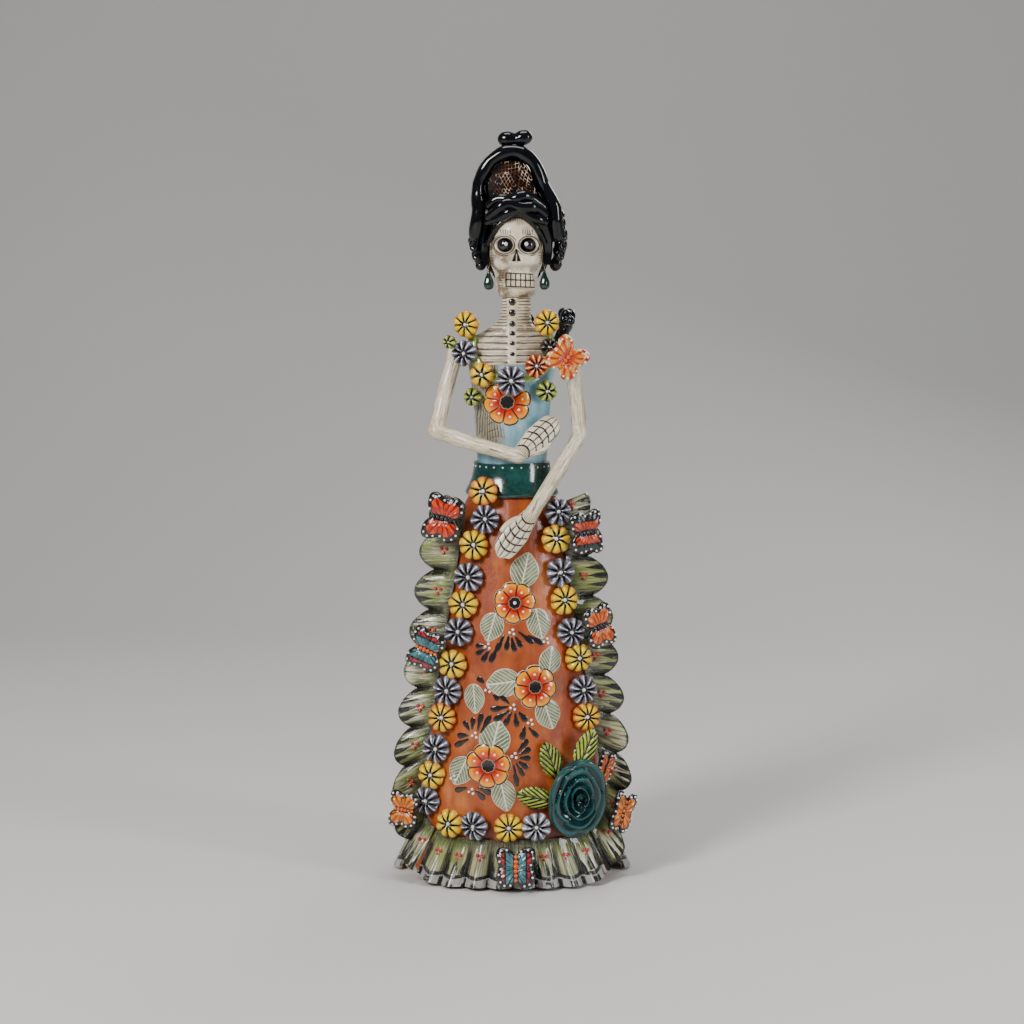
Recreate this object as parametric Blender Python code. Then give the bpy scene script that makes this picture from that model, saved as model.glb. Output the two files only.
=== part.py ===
"""Glazed clay catrina: a skeleton lady in a ruffled dress, hand-built from separately modelled clay pieces.

Frame: metres, +Z up, origin on the table under the middle of the skirt. The figure faces -Y, and "right" and
"left" are the figure's own, so its right side is at -X. Every number below is in millimetres until a mesh is
made.
"""

import math

import bmesh
import bpy
from mathutils import Matrix, Vector

MM = 0.001
GAP = 0.3  # air left between two pieces that touch on the real figure

# ---------------------------------------------------------------- driving dimensions, mm
WALL = 5.0
DEPTH_SHARE = 0.85  # the skirt is an oval: this much as deep as it is wide
SKIRT_HALF_WIDTH = ((0, 66), (60, 62), (120, 56), (180, 48), (230, 40), (250, 33), (262, 25.5))
TORSO = (  # height, half width, half depth
    (262.3, 22.5, 19),
    (278, 23.5, 20),
    (300, 24.5, 20.5),
    (325, 26.5, 20.5),
    (345, 29.5, 18.5),
)
CHEST = (
    (345.3, 29.5, 18.5),
    (355, 30.5, 15.5),
    (362, 28.5, 13),
    (367, 19, 11),
    (372, 11.5, 10.2),
    (380, 9.8, 9.8),
    (389.4, 9.6, 9.6),
)
PEG_RADIUS, PEG_TOP = 5.5, 407.0
SOCKET_RADIUS, SOCKET_TOP = 6.2, 408.5

HEAD_X = 3.0  # the head sits a little to the figure's left
SKULL = (  # height, half width, half depth, middle along Y
    (389.7, 10.5, 9.5, -2),
    (391.5, 12.8, 11.5, -2.5),
    (398, 13.6, 13, -3),
    (405, 14.4, 14.2, -3),
    (411, 17.2, 16.5, -2),
    (419, 18.2, 18.2, -1),
    (428, 18.2, 18.8, 0),
    (436, 16.8, 18, 0.5),
    (442, 13.4, 15, 1),
    (446.5, 8, 9, 1),
    (448, 3, 3.5, 1),
)
HAIR_THICKNESS = 4.5
SHOULDER_HEIGHT = 360.0  # the strip and the flowers above this stand straight up
NAPE_DROP = 21.0  # how much lower the hair reaches at the back than beside the ears
EARS_CLEAR, NAPE_SLOPE = 0.25, 0.4  # shares of the way round to the back: before the drop, and along it
UPDO = (  # height, half width, half depth
    (452, 22.5, 15),
    (460, 20.5, 14.5),
    (469, 16.5, 13),
    (477, 11.5, 10.5),
    (483, 8.2, 7.5),
    (487.5, 7.4, 6),
)
UPDO_MIDDLE = 6.0
HAIR_LEAN = ((448, 0), (464, -4), (478, -3.2), (488, -2), (500, -1))  # height, lean of the piled hair in X
EARRING_PIVOT = (18.6, -3.0, 410.2)  # from the head's middle line
EARRING_LENGTH, EARRING_RADIUS = 16.0, 3.3

ARM_RADIUS = 5.6
RIGHT_ARM = {
    "shoulder": (-37.5, -2, 353),
    "elbow": (-50.5, -14, 300.5),
    "wrist": (4, -32, 285.5),
    "fingertips": (30, -20, 309),
}
LEFT_ARM = {
    "shoulder": (39.5, -2, 350),
    "elbow": (45.5, -8, 297.5),
    "wrist": (13, -38, 248),
    "fingertips": (-9, -44, 220),
}
HAND_HALF_WIDTH, HAND_HALF_THICKNESS = 8.5, 3.2

FLOWER_RADIUS, FLOWER_THICKNESS, FLOWER_LIFT, FLOWER_PETALS = 10.0, 5.0, 4.0, 8
STEP_IN_GROUP, STEP_BETWEEN_GROUPS = 18.4, 21.8  # the flowers of a group are pressed into each other
# Side, flowers, in a group, direction along X, height of the first, (height, distance from the middle)...
GARLANDS = (
    ("right", 12, 3, -1, 261.5, ((50, 54), (204, 26.4), (224, 24), (243, 15.5), (262, 13.5))),
    (
        "left", 8, 2, 1, 247.0,
        ((50, 54), (150, 41), (170, 35.6), (190, 31.6), (208, 29), (228, 26), (247, 25.5)),
    ),
)
HEM_GARLAND = {"flowers": 4, "in_group": 2, "first_x": -38.5, "height": 42.0}

RUFFLE_THICKNESS = 2.2
# Inner edge x, z on the skirt, outer edge x, y, z, and lobes so far, from the waist to the front.
RUFFLE_STATIONS = (
    ((31, 251), (51, -12, 260), 0.0),
    ((33, 225), (59, -12, 225), 1.35),
    ((42, 170), (66, -13, 170), 3.4),
    ((50, 120), (74, -14, 115), 5.4),
    ((57, 80), (80, -15, 70), 7.0),
    ((60, 52), (80, -20, 40), 8.2),
    ((53, 37), (70, -36, 12), 9.4),
    ((40, 31), (53, -50, 1.6), 10.7),
    ((20, 30), (27, -61, 1.4), 12.35),
    ((0, 30), (0, -64.5, 1.4), 14.0),
)
# How far a lobe stands forward, and how deep the notches beside it cut.
SIDE_FRILL = {"depth": 6.0, "notch": 0.42}
HEM_FRILL = {"depth": 3.2, "notch": 0.06}
LEFT_SHIFT = 0.35  # the left ruffle's lobes sit between the right one's
BACK_LOBES = 18  # in a whole turn
SIDE_ENDS_AT, HEM_STARTS_AT = 0.70, 0.71  # share of the way from the waist to the middle of the hem
BACK_HEM_FROM, BACK_HEM_TO = 82, 278  # degrees round the skirt from its front

ROSE_CENTRE, ROSE_HALF_WIDTH, ROSE_HALF_HEIGHT, ROSE_DEPTH = (37.7, 61), 20.5, 26.0, 14.0

# ---------------------------------------------------------------- materials: colour, roughness, metallic
MATERIALS = {
    "terracotta_orange_glaze": ((0.60, 0.20, 0.07), 0.3, 0),
    "teal_glaze": ((0.01, 0.09, 0.10), 0.15, 0),
    "pale_blue_glaze": ((0.30, 0.48, 0.52), 0.3, 0),
    "bone_slip": ((0.78, 0.70, 0.56), 0.5, 0),
    "lime_green_glaze": ((0.35, 0.50, 0.12), 0.3, 0),
    "black_glaze": ((0.01, 0.01, 0.012), 0.1, 0),
    "sage_green_glaze": ((0.38, 0.38, 0.20), 0.35, 0),
    "yellow_glaze": ((0.80, 0.45, 0.06), 0.25, 0),
    "grey_violet_glaze": ((0.18, 0.17, 0.24), 0.25, 0),
    "orange_glaze": ((0.80, 0.22, 0.03), 0.25, 0),
    "dark_green_glaze": ((0.01, 0.06, 0.04), 0.1, 0),
}


# ---------------------------------------------------------------- helpers
def clear_scene():
    for thing in list(bpy.data.objects):
        bpy.data.objects.remove(thing)


def material(name):
    found = bpy.data.materials.get(name)
    if found:
        return found
    colour, roughness, metallic = MATERIALS[name]
    made = bpy.data.materials.new(name)
    made.use_nodes = True
    shader = made.node_tree.nodes["Principled BSDF"]
    shader.inputs["Base Color"].default_value = (*colour, 1)
    shader.inputs["Roughness"].default_value = roughness
    shader.inputs["Metallic"].default_value = metallic
    return made


def mesh_from(name, points, faces):
    """A mesh in metres from points in millimetres, its faces turned outwards."""
    mesh = bpy.data.meshes.new(name)
    mesh.from_pydata([Vector(p) * MM for p in points], [], faces)
    work = bmesh.new()
    work.from_mesh(mesh)
    bmesh.ops.recalc_face_normals(work, faces=work.faces)
    work.to_mesh(mesh)
    work.free()
    mesh.shade_smooth()
    mesh.set_sharp_from_angle(angle=math.radians(50))
    return mesh


def add(name, mesh, finish, parent=None, location=(0, 0, 0), turn=None):
    """An object for a mesh, placed by its location in millimetres and its rotation matrix."""
    made = bpy.data.objects.new(name, mesh)
    bpy.context.scene.collection.objects.link(made)
    if not mesh.materials:
        mesh.materials.append(material(finish))
    made.location = Vector(location) * MM
    if turn is not None:
        made.rotation_euler = turn.to_euler()
    if parent is not None:
        made.parent = parent
    return made


def add_empty(name, location, parent=None):
    made = bpy.data.objects.new(name, None)
    bpy.context.scene.collection.objects.link(made)
    made.location = Vector(location) * MM
    if parent is not None:
        made.parent = parent
    return made


def blend(stations, where):
    """A smooth (Catmull-Rom) value between evenly spaced stations, at where from 0 to 1."""
    last = len(stations) - 1
    spot = min(max(where, 0.0), 1.0) * last
    i = min(int(spot), last - 1)
    t = spot - i
    a, b, c, d = (Vector(stations[min(max(k, 0), last)]) for k in (i - 1, i, i + 1, i + 2))
    return 0.5 * (2 * b + (c - a) * t + (2 * a - 5 * b + 4 * c - d) * t**2 + (3 * b - a - 3 * c + d) * t**3)


def level(table, height):
    """The row of a (height, values...) table at a height, straight between its rows."""
    for low, high in zip(table, table[1:]):
        if height <= high[0]:
            break
    t = min(max((height - low[0]) / (high[0] - low[0]), 0.0), 1.0)
    return [p + (q - p) * t for p, q in zip(low[1:], high[1:])]


def oval(half_width, half_depth, height, middle_y=0.0, sides=32, lift=0.0):
    """A level ring of points round the Z axis, starting at the front."""
    turns = [2 * math.pi * i / sides for i in range(sides)]
    return [
        Vector((
            (half_width + lift) * math.sin(t),
            middle_y - (half_depth + lift) * math.cos(t),
            height,
        ))
        for t in turns
    ]


def bridge(rings, closed=False):
    """Side faces between neighbouring rings that all hold the same number of points."""
    sides = len(rings[0])
    count = len(rings)
    faces = []
    for r in range(count if closed else count - 1):
        low, high = r * sides, (r + 1) % count * sides
        for i in range(sides):
            j = (i + 1) % sides
            faces.append((low + i, low + j, high + j, high + i))
    return faces


def loft(name, rings):
    """A solid through rings, with a flat cap on each end."""
    sides = len(rings[0])
    caps = [tuple(range(sides)), tuple(range((len(rings) - 1) * sides, len(rings) * sides))]
    return mesh_from(name, [p for ring in rings for p in ring], bridge(rings) + caps)


def shell(name, outer, inner):
    """A tube with a wall, open at both ends: outer rings upwards, then inner rings back down."""
    rings = list(outer) + list(reversed(inner))
    return mesh_from(name, [p for ring in rings for p in ring], bridge(rings, closed=True))


def tube(name, points, radii, sides=10, flat=1.0):
    """A rod along points with a radius at each, its ends rounded. Flat squeezes it across Y."""
    points = [Vector(p) for p in points]
    rings = []
    across = Vector((0, 1, 0))
    for i, point in enumerate(points):
        ahead = (points[min(i + 1, len(points) - 1)] - points[max(i - 1, 0)]).normalized()
        side = ahead.cross(across).normalized()
        other = side.cross(ahead)
        stops = [(0, 1.0)]
        if i == 0:
            stops = [(-0.85, 0.5), (-0.45, 0.88), (0, 1.0)]
        elif i == len(points) - 1:
            stops = [(0, 1.0), (0.45, 0.88), (0.85, 0.5)]
        for along, share in stops:
            centre = point + ahead * along * radii[i]
            rings.append([
                centre
                + side * math.cos(2 * math.pi * k / sides) * radii[i] * share
                + other * math.sin(2 * math.pi * k / sides) * radii[i] * share * flat
                for k in range(sides)
            ])
    return loft(name, rings)


def sheet(name, grid, thickness):
    """A slab of even thickness whose middle surface is a grid of points."""
    rows, columns = len(grid), len(grid[0])

    def normal(r, c):
        along = grid[min(r + 1, rows - 1)][c] - grid[max(r - 1, 0)][c]
        over = grid[r][min(c + 1, columns - 1)] - grid[r][max(c - 1, 0)]
        return along.cross(over).normalized()

    points = []
    for side in (-0.5, 0.5):
        for r in range(rows):
            points += [grid[r][c] + normal(r, c) * thickness * side for c in range(columns)]
    back = rows * columns
    faces = []
    for r in range(rows - 1):
        for c in range(columns - 1):
            i = r * columns + c
            quad = (i, i + 1, i + columns + 1, i + columns)
            faces += [quad, tuple(back + k for k in reversed(quad))]
    rim = (
        [(0, c) for c in range(columns)]
        + [(r, columns - 1) for r in range(1, rows)]
        + [(rows - 1, c) for c in range(columns - 2, -1, -1)]
        + [(r, 0) for r in range(rows - 2, 0, -1)]
    )
    corners = [r * columns + c for r, c in rim]
    for i, j in zip(corners, corners[1:] + corners[:1]):
        faces.append((j, i, back + i, back + j))
    return mesh_from(name, points, faces)


def facing(normal, up=Vector((0, 0, 1))):
    """A rotation whose Z looks along normal and whose Y keeps as near to up as it can."""
    z = Vector(normal).normalized()
    x = Vector(up).cross(z).normalized()
    return Matrix((x, z.cross(x), z)).transposed()


def skirt_front(x, height):
    """The point of the skirt's front at x and height, and the way out of it."""
    half_width = level(SKIRT_HALF_WIDTH, height)[0]
    half_depth = half_width * DEPTH_SHARE
    share = min(abs(x) / half_width, 0.97)
    y = -half_depth * math.sqrt(1 - share**2)
    return Vector((x, y, height)), Vector((x / half_width**2, y / half_depth**2, 0)).normalized()


def body_front(x, height, lift=0.0):
    """The same on the torso and the chest."""
    table = TORSO if height <= TORSO[-1][0] else CHEST
    half_width, half_depth = level(table, height)
    share = min(abs(x) / half_width, 0.95)
    y = -half_depth * math.sqrt(1 - share**2)
    out = Vector((x / half_width**2, y / half_depth**2, 0)).normalized()
    return Vector((x, y, height)) + out * lift, out


# ---------------------------------------------------------------- dress and body
def build_skirt():
    outer, inner = [], []
    for height, half_width in SKIRT_HALF_WIDTH:
        half_depth = half_width * DEPTH_SHARE
        outer.append(oval(half_width, half_depth, height, sides=40))
        inner.append(oval(half_width - WALL, half_depth - WALL, height, sides=40))
    add("skirt", shell("skirt", outer, inner), "terracotta_orange_glaze")


def build_torso():
    outer = [oval(width, depth, height) for height, width, depth in TORSO]
    inner = [oval(width - 4, depth - 4, height) for height, width, depth in TORSO]
    add("torso", shell("torso", outer, inner), "pale_blue_glaze")


def build_waistband():
    """A teal sash wrapped over the seam between the skirt and the torso."""
    clear = 0.5
    outer_levels = ((257.5, 31.2, 27.2), (262, 29.4, 25.8), (270, 26.6, 23.2), (279, 25.6, 22.2))
    inner_levels = ((257.5, 28.8, 24.8), (262, 26.2, 22.4), (263.5, 24.6, 20.8), (279, 23.6, 20.1))
    outer = [oval(width, depth, height) for height, width, depth in outer_levels]
    inner = [oval(width + clear, depth + clear, height) for height, width, depth in inner_levels]
    add("waistband", shell("waistband", outer, inner), "teal_glaze")


def build_chest():
    """The bare collar bones and neck in one piece, with the peg that carries the head."""
    rings = [oval(width, depth, height) for height, width, depth in CHEST]
    rings.append(oval(PEG_RADIUS, PEG_RADIUS, CHEST[-1][0]))
    rings.append(oval(PEG_RADIUS, PEG_RADIUS, PEG_TOP - 1.5))
    rings.append(oval(PEG_RADIUS - 1.5, PEG_RADIUS - 1.5, PEG_TOP))
    # the shoulders lean towards the head, which stands HEAD_X off the middle line
    for ring in rings:
        lean = min(max((ring[0].z - 362) / 20, 0), 1) * HEAD_X
        for point in ring:
            point.x += lean
    add("chest_and_neck", loft("chest_and_neck", rings), "bone_slip")


def build_neckline_trim():
    """The lime strip that carries the shoulder flowers, in a U over both shoulders."""
    stations = (
        (-28, 375), (-25.5, 362), (-25, 352), (-19, 341), (0, 334),
        (19, 341), (25, 352), (24.5, 362), (22.5, 376),
    )
    grid = []
    steps = 26
    for i in range(steps + 1):
        x, height = blend([(*s, 0) for s in stations], i / steps)[:2]
        row = []
        for share, drop in ((0.9, 2.2), (1.06, -2.2)):
            point = body_front(x * share, min(height + drop, SHOULDER_HEIGHT), 1.8)[0]
            row.append(Vector((point.x, point.y, max(height + drop, point.z))))
        grid.append(row)
    add("neckline_trim", sheet("neckline_trim", grid, 1.4), "lime_green_glaze")


# ---------------------------------------------------------------- head
def build_skull(parent):
    rings = [oval(width, depth, height, middle, sides=24) for height, width, depth, middle in SKULL]
    skull = add("skull", loft("skull", rings), "bone_slip", parent)
    socket = loft(
        "neck_socket_cutter",
        [oval(SOCKET_RADIUS, SOCKET_RADIUS, height, 0, sides=32) for height in (SKULL[0][0] - 5, SOCKET_TOP)],
    )
    cutter = add("neck_socket_cutter", socket, "bone_slip", parent)
    cutter.hide_render = True
    cutter.display_type = "WIRE"
    cut = skull.modifiers.new("neck_socket", "BOOLEAN")
    cut.operation = "DIFFERENCE"
    cut.object = cutter


def skull_surface(turn, height, lift):
    """A point off the skull: turn is in degrees from the face, positive to the figure's left."""
    half_width, half_depth, middle = level(SKULL, height)
    t = math.radians(turn)
    return Vector(((half_width + lift) * math.sin(t), middle - (half_depth + lift) * math.cos(t), height))


def build_hair_cap(parent):
    """The smooth hair laid round the skull, open at the face."""
    grid = []
    columns, rows = 22, 8
    for row in range(rows + 1):
        v = row / rows
        ring = []
        for c in range(columns + 1):
            u = c / columns * 2 - 1
            behind = min(max((1 - abs(u) - EARS_CLEAR) / NAPE_SLOPE, 0.0), 1.0)
            low = 411 + 9 * (1 - abs(u)) ** 0.5 - NAPE_DROP * behind
            height = low + (443.5 - low) * v
            face_edge = 78 - 34 * v**2
            turn = 180 + u * (180 - face_edge)
            ring.append(skull_surface(turn, height, 0.8 + HAIR_THICKNESS / 2 + 1.2 * v**2))
        grid.append(ring)
    add("hair_cap", sheet("hair_cap", grid, HAIR_THICKNESS), "black_glaze", parent)


def build_updo(parent):
    rings = [oval(width, depth, height, UPDO_MIDDLE, sides=20) for height, width, depth in UPDO]
    for ring in rings:
        for point in ring:
            point.x += level(HAIR_LEAN, point.z)[0]
    add("hair_updo", loft("hair_updo", rings), "black_glaze", parent)


def build_comb(parent):
    """The arched comb that stands in front of the updo."""
    rows, half_columns, half_width = 6, 4, 13.5
    low, high, thickness = 457, 477, 2.4
    grid = []
    for row in range(rows + 1):
        height = low + (high - low) * row / rows
        reach = half_width * math.sqrt(1 - (row / (rows + 0.4)) ** 2)
        back = UPDO_MIDDLE - level(UPDO, height)[1]
        lean = level(HAIR_LEAN, height)[0]
        ring = []
        for c in range(-half_columns, half_columns + 1):
            u = c / half_columns
            ring.append(Vector((u * reach + lean, back - thickness - 2.5 * (1 - u**2), height)))
        grid.append(ring)
    add("comb", sheet("comb", grid, thickness), "black_glaze", parent)


def build_hair_arch(parent):
    """The thick glossy roll that frames the comb from ear to ear."""
    half = (
        (25.5, -5.5, 440), (24.3, -5, 450), (22.4, -4.5, 460),
        (19, -4.5, 469.5), (14.2, -5.8, 478.5), (6.6, -6.2, 484),
    )
    stations = [(-x, y, z) for x, y, z in half] + [(0, -6.2, 485.5)] + list(reversed(half))
    steps = 26
    path = [blend(stations, i / steps) for i in range(steps + 1)]
    for point in path:
        point.x += level(HAIR_LEAN, point.z)[0]
    radii = [4.2 - 0.5 * math.sin(math.pi * i / steps) ** 2 for i in range(steps + 1)]
    add("hair_arch", tube("hair_arch", path, radii), "black_glaze", parent)


def build_front_roll(parent):
    """The rolled fringe over the forehead."""
    stations = (
        (-18.5, -14, 444.5), (-11, -17.5, 448.5), (0, -18.5, 450), (11, -17.5, 448.5), (18.5, -14, 444.5),
    )
    path = [blend(stations, i / 14) for i in range(15)]
    add("front_roll", tube("front_roll", path, [3.8] * 15), "black_glaze", parent)


def build_curls(side, name, parent):
    """A chain of lumps that hangs beside the face."""
    stations = ((28.6, 5, 432), (29.6, 5.5, 425), (28.8, 6, 418), (26.8, 6, 411))
    steps = 12
    path = [blend(stations, i / steps) for i in range(steps + 1)]
    path = [Vector((side * p.x, p.y, p.z)) for p in path]
    radii = [4.0 - 0.8 * math.cos(math.pi * i / 2) for i in range(steps + 1)]
    add(name, tube(name, path, radii, sides=8), "black_glaze", parent)


def build_top_bow(parent):
    steps = 12
    path = [Vector((-10.2 + 18.4 * i / steps, -2, 493.6 + 1.4 * (i / steps) ** 2)) for i in range(steps + 1)]
    radii = [3.4 + 1.6 * abs(math.cos(math.pi * i / steps)) ** 0.5 for i in range(steps + 1)]
    add("top_bow", tube("top_bow", path, [min(r, 4.6) for r in radii], sides=8), "black_glaze", parent)


def build_earring(side, name, parent):
    """A glazed drop on a wire stem. Its origin is the loop that it swings from."""
    x, y, height = EARRING_PIVOT
    profile = (
        (0.35, 0.5), (0.7, 0.0), (0.35, -0.6), (0.45, -3.0), (1.5, -5.5),
        (EARRING_RADIUS, -11.0), (EARRING_RADIUS * 0.8, -14.0), (0.8, -EARRING_LENGTH),
    )
    rings = [oval(radius, radius, drop, sides=12) for radius, drop in profile]
    add(name, loft(name, rings), "dark_green_glaze", parent, (side * x, y, height - HEAD_BASE[2]))


HEAD_BASE = (HEAD_X, 0, CHEST[-1][0])


def build_head():
    """The head lifts off the neck's peg, so its empty stands on the peg's axis."""
    joint = add_empty("head_joint", HEAD_BASE)
    pieces = add_empty("head_pieces", (0, 0, -HEAD_BASE[2]), joint)
    build_skull(pieces)
    build_hair_cap(pieces)
    build_updo(pieces)
    build_comb(pieces)
    build_hair_arch(pieces)
    build_front_roll(pieces)
    build_curls(-1, "curls_right", pieces)
    build_curls(1, "curls_left", pieces)
    build_top_bow(pieces)
    build_earring(-1, "earring_right", joint)
    build_earring(1, "earring_left", joint)


def build_shoulder_braid():
    """The plait that comes up the back and over the left shoulder."""
    stations = (
        (6, 22, 384), (14, 24, 366), (22, 25, 350), (31, 21, 358),
        (35.5, 13, 371), (36, 3, 378), (36, -6, 374.5),
    )
    steps = 24
    path = [blend(stations, i / steps) for i in range(steps + 1)]
    radii = [4.4 - 0.8 * math.cos(math.pi * i / 1.5) for i in range(steps + 1)]
    add("shoulder_braid", tube("shoulder_braid", path, radii, sides=8), "black_glaze")


# ---------------------------------------------------------------- arms
def cut_end(mesh, point, normal):
    """Cuts off what lies past a plane, and closes the cut."""
    work = bmesh.new()
    work.from_mesh(mesh)
    everything = work.verts[:] + work.edges[:] + work.faces[:]
    bmesh.ops.bisect_plane(
        work, geom=everything, plane_co=Vector(point) * MM, plane_no=normal, clear_outer=True, dist=1e-7
    )
    rim = [edge for edge in work.edges if edge.is_boundary]
    bmesh.ops.edgeloop_fill(work, edges=rim)
    bmesh.ops.recalc_face_normals(work, faces=work.faces)
    work.to_mesh(mesh)
    work.free()
    return mesh


def bone(name, start, end, radius_start, radius_end):
    """One long bone, a little thinner in the middle than at its ends."""
    start, end = Vector(start), Vector(end)
    shares = (0, 0.12, 0.5, 0.88, 1)
    waist = (1.0, 1.0, 0.86, 0.95, 1.0)
    radii = [(radius_start + (radius_end - radius_start) * s) * w for s, w in zip(shares, waist)]
    return tube(name, [start.lerp(end, s) for s in shares], radii, sides=12)


def build_hand(name, wrist, fingertips):
    """A flat mitten of clay, broad at the knuckles and round at the fingertips."""
    wrist, fingertips = Vector(wrist), Vector(fingertips)
    ahead = (fingertips - wrist).normalized()
    out = Vector((0, -1, 0))
    side = ahead.cross(out).normalized()
    out = side.cross(ahead)
    length = (fingertips - wrist).length
    shape = (
        (0.0, 0.62, 1.0), (0.18, 0.72, 1.0), (0.45, 1.0, 1.0),
        (0.75, 0.95, 0.85), (0.93, 0.72, 0.7), (1.0, 0.4, 0.5),
    )
    rings = []
    for share, width, thickness in shape:
        centre = wrist + ahead * share * length
        rings.append([
            centre
            + side * math.cos(2 * math.pi * k / 14) * HAND_HALF_WIDTH * width
            + out * math.sin(2 * math.pi * k / 14) * HAND_HALF_THICKNESS * thickness
            for k in range(14)
        ])
    add(name, loft(name, rings), "bone_slip")


def build_arm(side_name, joints):
    """Upper arm, forearm and hand, mitred where they are luted together."""
    shoulder, elbow, wrist = (Vector(joints[k]) for k in ("shoulder", "elbow", "wrist"))
    upper_way, fore_way = (elbow - shoulder).normalized(), (wrist - elbow).normalized()
    mitre = (upper_way + fore_way).normalized()
    upper = bone(f"{side_name}_upper_arm", shoulder, elbow + upper_way * 3, ARM_RADIUS * 0.95, ARM_RADIUS)
    cut_end(upper, elbow - mitre * GAP / 2, mitre)
    start, end = elbow - fore_way * 3, wrist + fore_way * 6
    fore = bone(f"{side_name}_forearm", start, end, ARM_RADIUS, ARM_RADIUS * 0.78)
    cut_end(fore, elbow + mitre * GAP / 2, -mitre)
    hand_way = (Vector(joints["fingertips"]) - wrist).normalized()
    wrist_mitre = (fore_way + hand_way).normalized()
    cut_end(fore, wrist - wrist_mitre * GAP / 2, wrist_mitre)
    add(f"{side_name}_upper_arm", upper, "bone_slip")
    add(f"{side_name}_forearm", fore, "bone_slip")
    build_hand(f"{side_name}_hand", wrist + hand_way * (HAND_HALF_WIDTH * 0.55), joints["fingertips"])


# ---------------------------------------------------------------- ruffles
def lobe(passed):
    """1 in the middle of a lobe, 0 in the crease between two lobes."""
    return abs(math.sin(math.pi * passed)) ** 0.7


def ruffle_point(where, width, side, frill, shift=0.0):
    """A point of a ruffle's middle surface: where runs from the waist to the front, width from the skirt out."""
    inner_x, inner_z, passed = blend([(*s[0], s[2]) for s in RUFFLE_STATIONS], where)
    start, out = skirt_front(inner_x, inner_z)
    start += out * (GAP + RUFFLE_THICKNESS / 2 + 0.4)
    outer = [s[1] for s in RUFFLE_STATIONS]
    swell = lobe(passed + shift)
    across = (blend(outer, where) - start) * (1 - frill["notch"] * (1 - swell))
    step = 0.004
    ahead = blend(outer, where + step) - blend(outer, where - step)
    normal = across.cross(ahead).normalized()
    if normal.y > 0:
        normal.negate()
    point = start + across * width + normal * frill["depth"] * width**1.3 * (2 * swell - 1)
    return Vector((side * point.x, point.y, max(point.z, RUFFLE_THICKNESS / 2 + 0.4)))


def build_side_ruffle(side, name):
    steps = 66
    shift = LEFT_SHIFT if side > 0 else 0.0
    grid = [
        [ruffle_point(SIDE_ENDS_AT * i / steps, w / 3, side, SIDE_FRILL, shift) for w in range(4)]
        for i in range(steps + 1)
    ]
    add(name, sheet(name, grid, RUFFLE_THICKNESS), "sage_green_glaze")


def build_front_hem():
    steps = 64
    grid = []
    for i in range(steps + 1):
        share = i / steps * 2 - 1
        where = 1 - (1 - HEM_STARTS_AT) * abs(share)
        side = 1 if share >= 0 else -1
        grid.append([ruffle_point(where, w / 3, side, HEM_FRILL) for w in range(4)])
    add("ruffle_front_hem", sheet("ruffle_front_hem", grid, RUFFLE_THICKNESS), "sage_green_glaze")


def build_back_hem():
    """The hem's flounce goes on round the back of the skirt."""
    steps = 63
    grid = []
    for i in range(steps + 1):
        turn = math.radians(BACK_HEM_FROM + (BACK_HEM_TO - BACK_HEM_FROM) * i / steps)
        swell = 2 * lobe(turn * BACK_LOBES / (2 * math.pi)) - 1
        row = []
        for share in (0, 0.5, 1):
            height = 32 - 30.6 * share
            half_width = level(SKIRT_HALF_WIDTH, height)[0]
            lift = 1.9 + 9.2 * share + HEM_FRILL["depth"] * share * swell
            row.append(Vector((
                (half_width + lift) * math.sin(turn),
                -(half_width * DEPTH_SHARE + lift) * math.cos(turn),
                height,
            )))
        grid.append(row)
    add("ruffle_back_hem", sheet("ruffle_back_hem", grid, RUFFLE_THICKNESS), "sage_green_glaze")


# ---------------------------------------------------------------- flowers, rose, leaves, butterflies
def flower_mesh(name, radius):
    """A domed rosette, scalloped into petals, with its back at Z = 0."""
    sides = FLOWER_PETALS * 2
    levels = ((0.78, 0.0), (1.0, 0.32), (0.62, 0.92), (0.18, 0.8))
    rings = []
    for share, height in levels:
        ring = []
        for k in range(sides):
            scallop = 1.0 if k % 2 == 0 else 0.93
            reach = radius * share * scallop
            angle = 2 * math.pi * k / sides
            ring.append(Vector((reach * math.cos(angle), reach * math.sin(angle), height * FLOWER_THICKNESS)))
        rings.append(ring)
    return loft(name, rings)


def add_flower_group(name, mesh, finish, spots):
    """Neighbouring flowers of a garland, each pressed into the next petal to petal."""
    made = None
    for i, (place, out) in enumerate(spots):
        before, after = spots[max(i - 1, 0)][0], spots[min(i + 1, len(spots) - 1)][0]
        onward = (after - before).normalized()
        turn = facing(out - onward * out.dot(onward), onward)
        if made is None:
            made = add(name, mesh, finish, None, place, turn)
            continue
        helper = add(f"{name}_helper_{i + 1}", mesh, finish, None, place, turn)
        helper.hide_render = True
        helper.display_type = "WIRE"
        join = made.modifiers.new(f"flower_{i + 1}", "BOOLEAN")
        join.operation = "UNION"
        join.object = helper


def flower_spot(x, height):
    """A place off the skirt, clear of the waistband, and a way between straight out and straight ahead."""
    point, out = skirt_front(x, height)
    lift = FLOWER_LIFT + max(height - 240, 0) * 0.3
    return point + out * lift, out.lerp(Vector((0, -1, 0)), 0.6).normalized()


def walk(path, count, in_group):
    """Count places along a path, which is a function of one growing number, gathered in groups."""
    spots = [path(0)]
    along = 0.0
    while len(spots) < count:
        step = STEP_IN_GROUP if len(spots) % in_group else STEP_BETWEEN_GROUPS
        while (path(along)[0] - spots[-1][0]).length < step:
            along += 0.05
        spots.append(path(along))
    return [spots[i : i + in_group] for i in range(0, count, in_group)]


def side_garland(side, first_height, spread):
    """The path of a garland down one side of the front panel."""

    def path(drop):
        height = first_height - drop
        return flower_spot(side * level(spread, height)[0], height)

    return path


def hem_garland(right):
    """The path of the garland along the hem."""
    return flower_spot(HEM_GARLAND["first_x"] + right, HEM_GARLAND["height"])


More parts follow.
